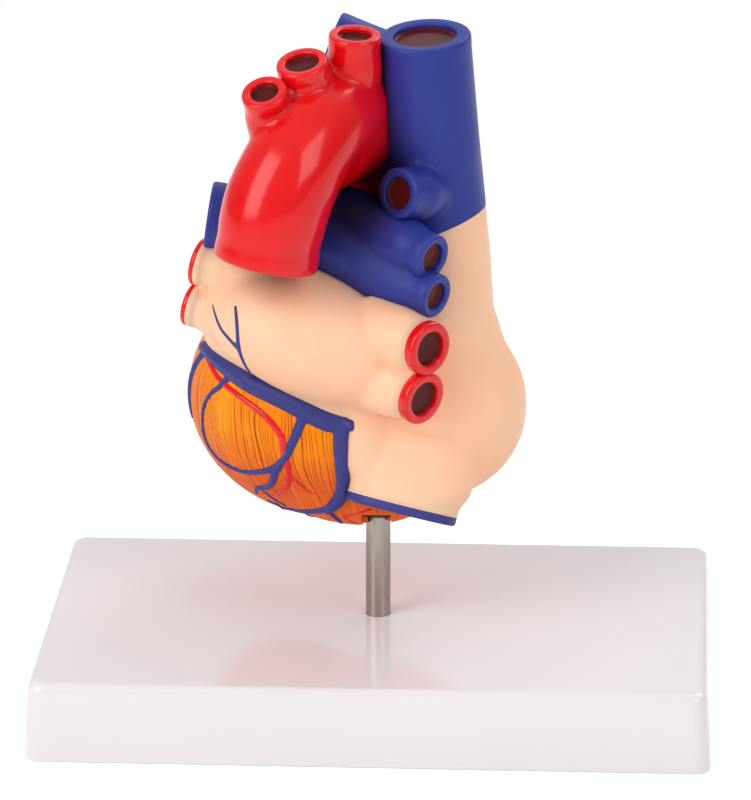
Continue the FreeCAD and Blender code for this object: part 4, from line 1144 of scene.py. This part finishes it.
# %% [markdown]
# The base is a moulded block of white ABS with a high gloss. Its top edge is a soft radius, its sides
# lean out a little so that it leaves the mould, and it is hollow from below. A beveled box gives smooth
# highlights, where the CAD mesh would show facets.

# %% Base
TAPER = math.tan(math.radians(3))
SIDE_WALL = 4
TOP_WALL = 3
ROD_FIT = 3.06


def soften(bm, radius, segments, chosen):
    """Rounds the chosen edges, told by the heights of their two ends."""
    edges = [edge for edge in bm.edges if chosen(*sorted(vert.co.z for vert in edge.verts))]
    bmesh.ops.bevel(bm, geom=edges, offset=radius, segments=segments, profile=0.5, affect="EDGES",
                    material=-1)


low, high = (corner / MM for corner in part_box("base_shell"))
bm = box_between(low, high)
top_face = max(bm.faces, key=lambda face: face.calc_center_median().z)
shrink = (high.z - low.z) * TAPER
for vert in top_face.verts:
    vert.co.x -= math.copysign(shrink, vert.co.x)
    vert.co.y -= math.copysign(shrink, vert.co.y)
soften(bm, 4, 8, lambda lower, upper: upper - lower > 1)
soften(bm, 2.2, 8, lambda lower, upper: lower > high.z - 0.01)
soften(bm, 0.5, 3, lambda lower, upper: upper < low.z + 0.01)
inside = Vector((SIDE_WALL, SIDE_WALL, TOP_WALL))
hollow = box_between((*(low + inside).xy, -1), high - inside)
bm = boolean(bm, [hollow, rod_between((0, 0, 0), (0, 0, 30), ROD_FIT, 96)])
ABS_LOOK = {"IOR": 1.5, "Coat Weight": 0.1, "Coat Roughness": 0.05}
GLOSS_ABS, tree, shader, place = new_finish("white_gloss_abs", ABS_LOOK)
fill(shader, {"Base Color": two_shades(tree, place, 40, 2, "#E4DDE0", "#E9E3E6")})
gloss_and_relief(tree, shader, place, 0.1, 0.16, waves=0.12, peel=0.08)
finish_piece(shaped_object(bm, "base_moulding", [GLOSS_ABS], FROM_FLOOR, sharp=30), "stand",
             "white_plastic", "base_shell")

# %% [markdown]
# The rod is brushed stainless steel: fine scratches run along it from drawing, so its highlight is a soft
# upright streak. The screws and the magnets are plated, the bush in the heart is dark nylon, and the
# cover under the base is the same ABS in satin.

# %% Metals and plastics of the stand
def assign(material, *names):
    """Gives CAD pieces that keep their own mesh a finish."""
    for name in names:
        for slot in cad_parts[name].material_slots:
            slot.material = material


def brushed(name, colour, worn, low, high, stretch=(1, 1, 1)):
    """Metal with fine scratches. A small z in stretch draws them out along the rod."""
    material, tree, shader, place = new_finish(name, {"Metallic": 1})
    grain = node(tree, "Mapping", {"Vector": place, "Scale": stretch})
    lines = node(tree, "TexNoise", grain, per_mm(0.5), 3)
    fill(shader, {
        "Base Color": two_shades(tree, place, 6, 2, colour, worn),
        "Roughness": node(tree, "MapRange", lines, 0.3, 0.7, low, high),
        "Normal": node(tree, "Bump", {"Height": lines, "Strength": 0.25, "Distance": 0.02 * MM}),
    })
    return material


def plain_plastic(name, first, second, low, high, grain):
    """A moulded plastic: two near shades, and the fine texture of its mould."""
    material, tree, shader, place = new_finish(name, {"IOR": 1.5})
    fill(shader, {"Base Color": two_shades(tree, place, 20, 2, first, second)})
    gloss_and_relief(tree, shader, place, low, high, waves=0.1, peel=grain)
    return material


BRUSHED_STEEL = brushed("brushed_stainless", "#A39890", "#B3A9A2", 0.24, 0.4, (1, 1, 0.04))
low, high = (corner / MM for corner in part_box("support_rod"))
bm = rod_between((0, 0, low.z), (0, 0, high.z), high.x, 128)
soften(bm, 0.3, 3, lambda lower, upper: upper - lower < 0.01)
finish_piece(shaped_object(bm, "steel_rod", [BRUSHED_STEEL], FROM_FLOOR, sharp=30), "rod", "rod_steel",
             "support_rod")
assign(brushed("zinc_plated_steel", "#C9CACC", "#B4B6BA", 0.22, 0.34), "rod_washer", "rod_screw",
       "plate_screws", "locating_pins")
assign(brushed("nickel_plated_magnet", "#D4D0C8", "#C4BFB6", 0.16, 0.26), "magnets_back", "magnets_front")
assign(plain_plastic("dark_nylon", "#3A2B26", "#45342E", 0.5, 0.6, 0.4), "rod_socket")
assign(plain_plastic("white_satin_abs", "#EBE6E8", "#F0ECED", 0.4, 0.5, 0.5), "base_plate")
print("finishes given to", [name for name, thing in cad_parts.items() if not thing.hide_render])
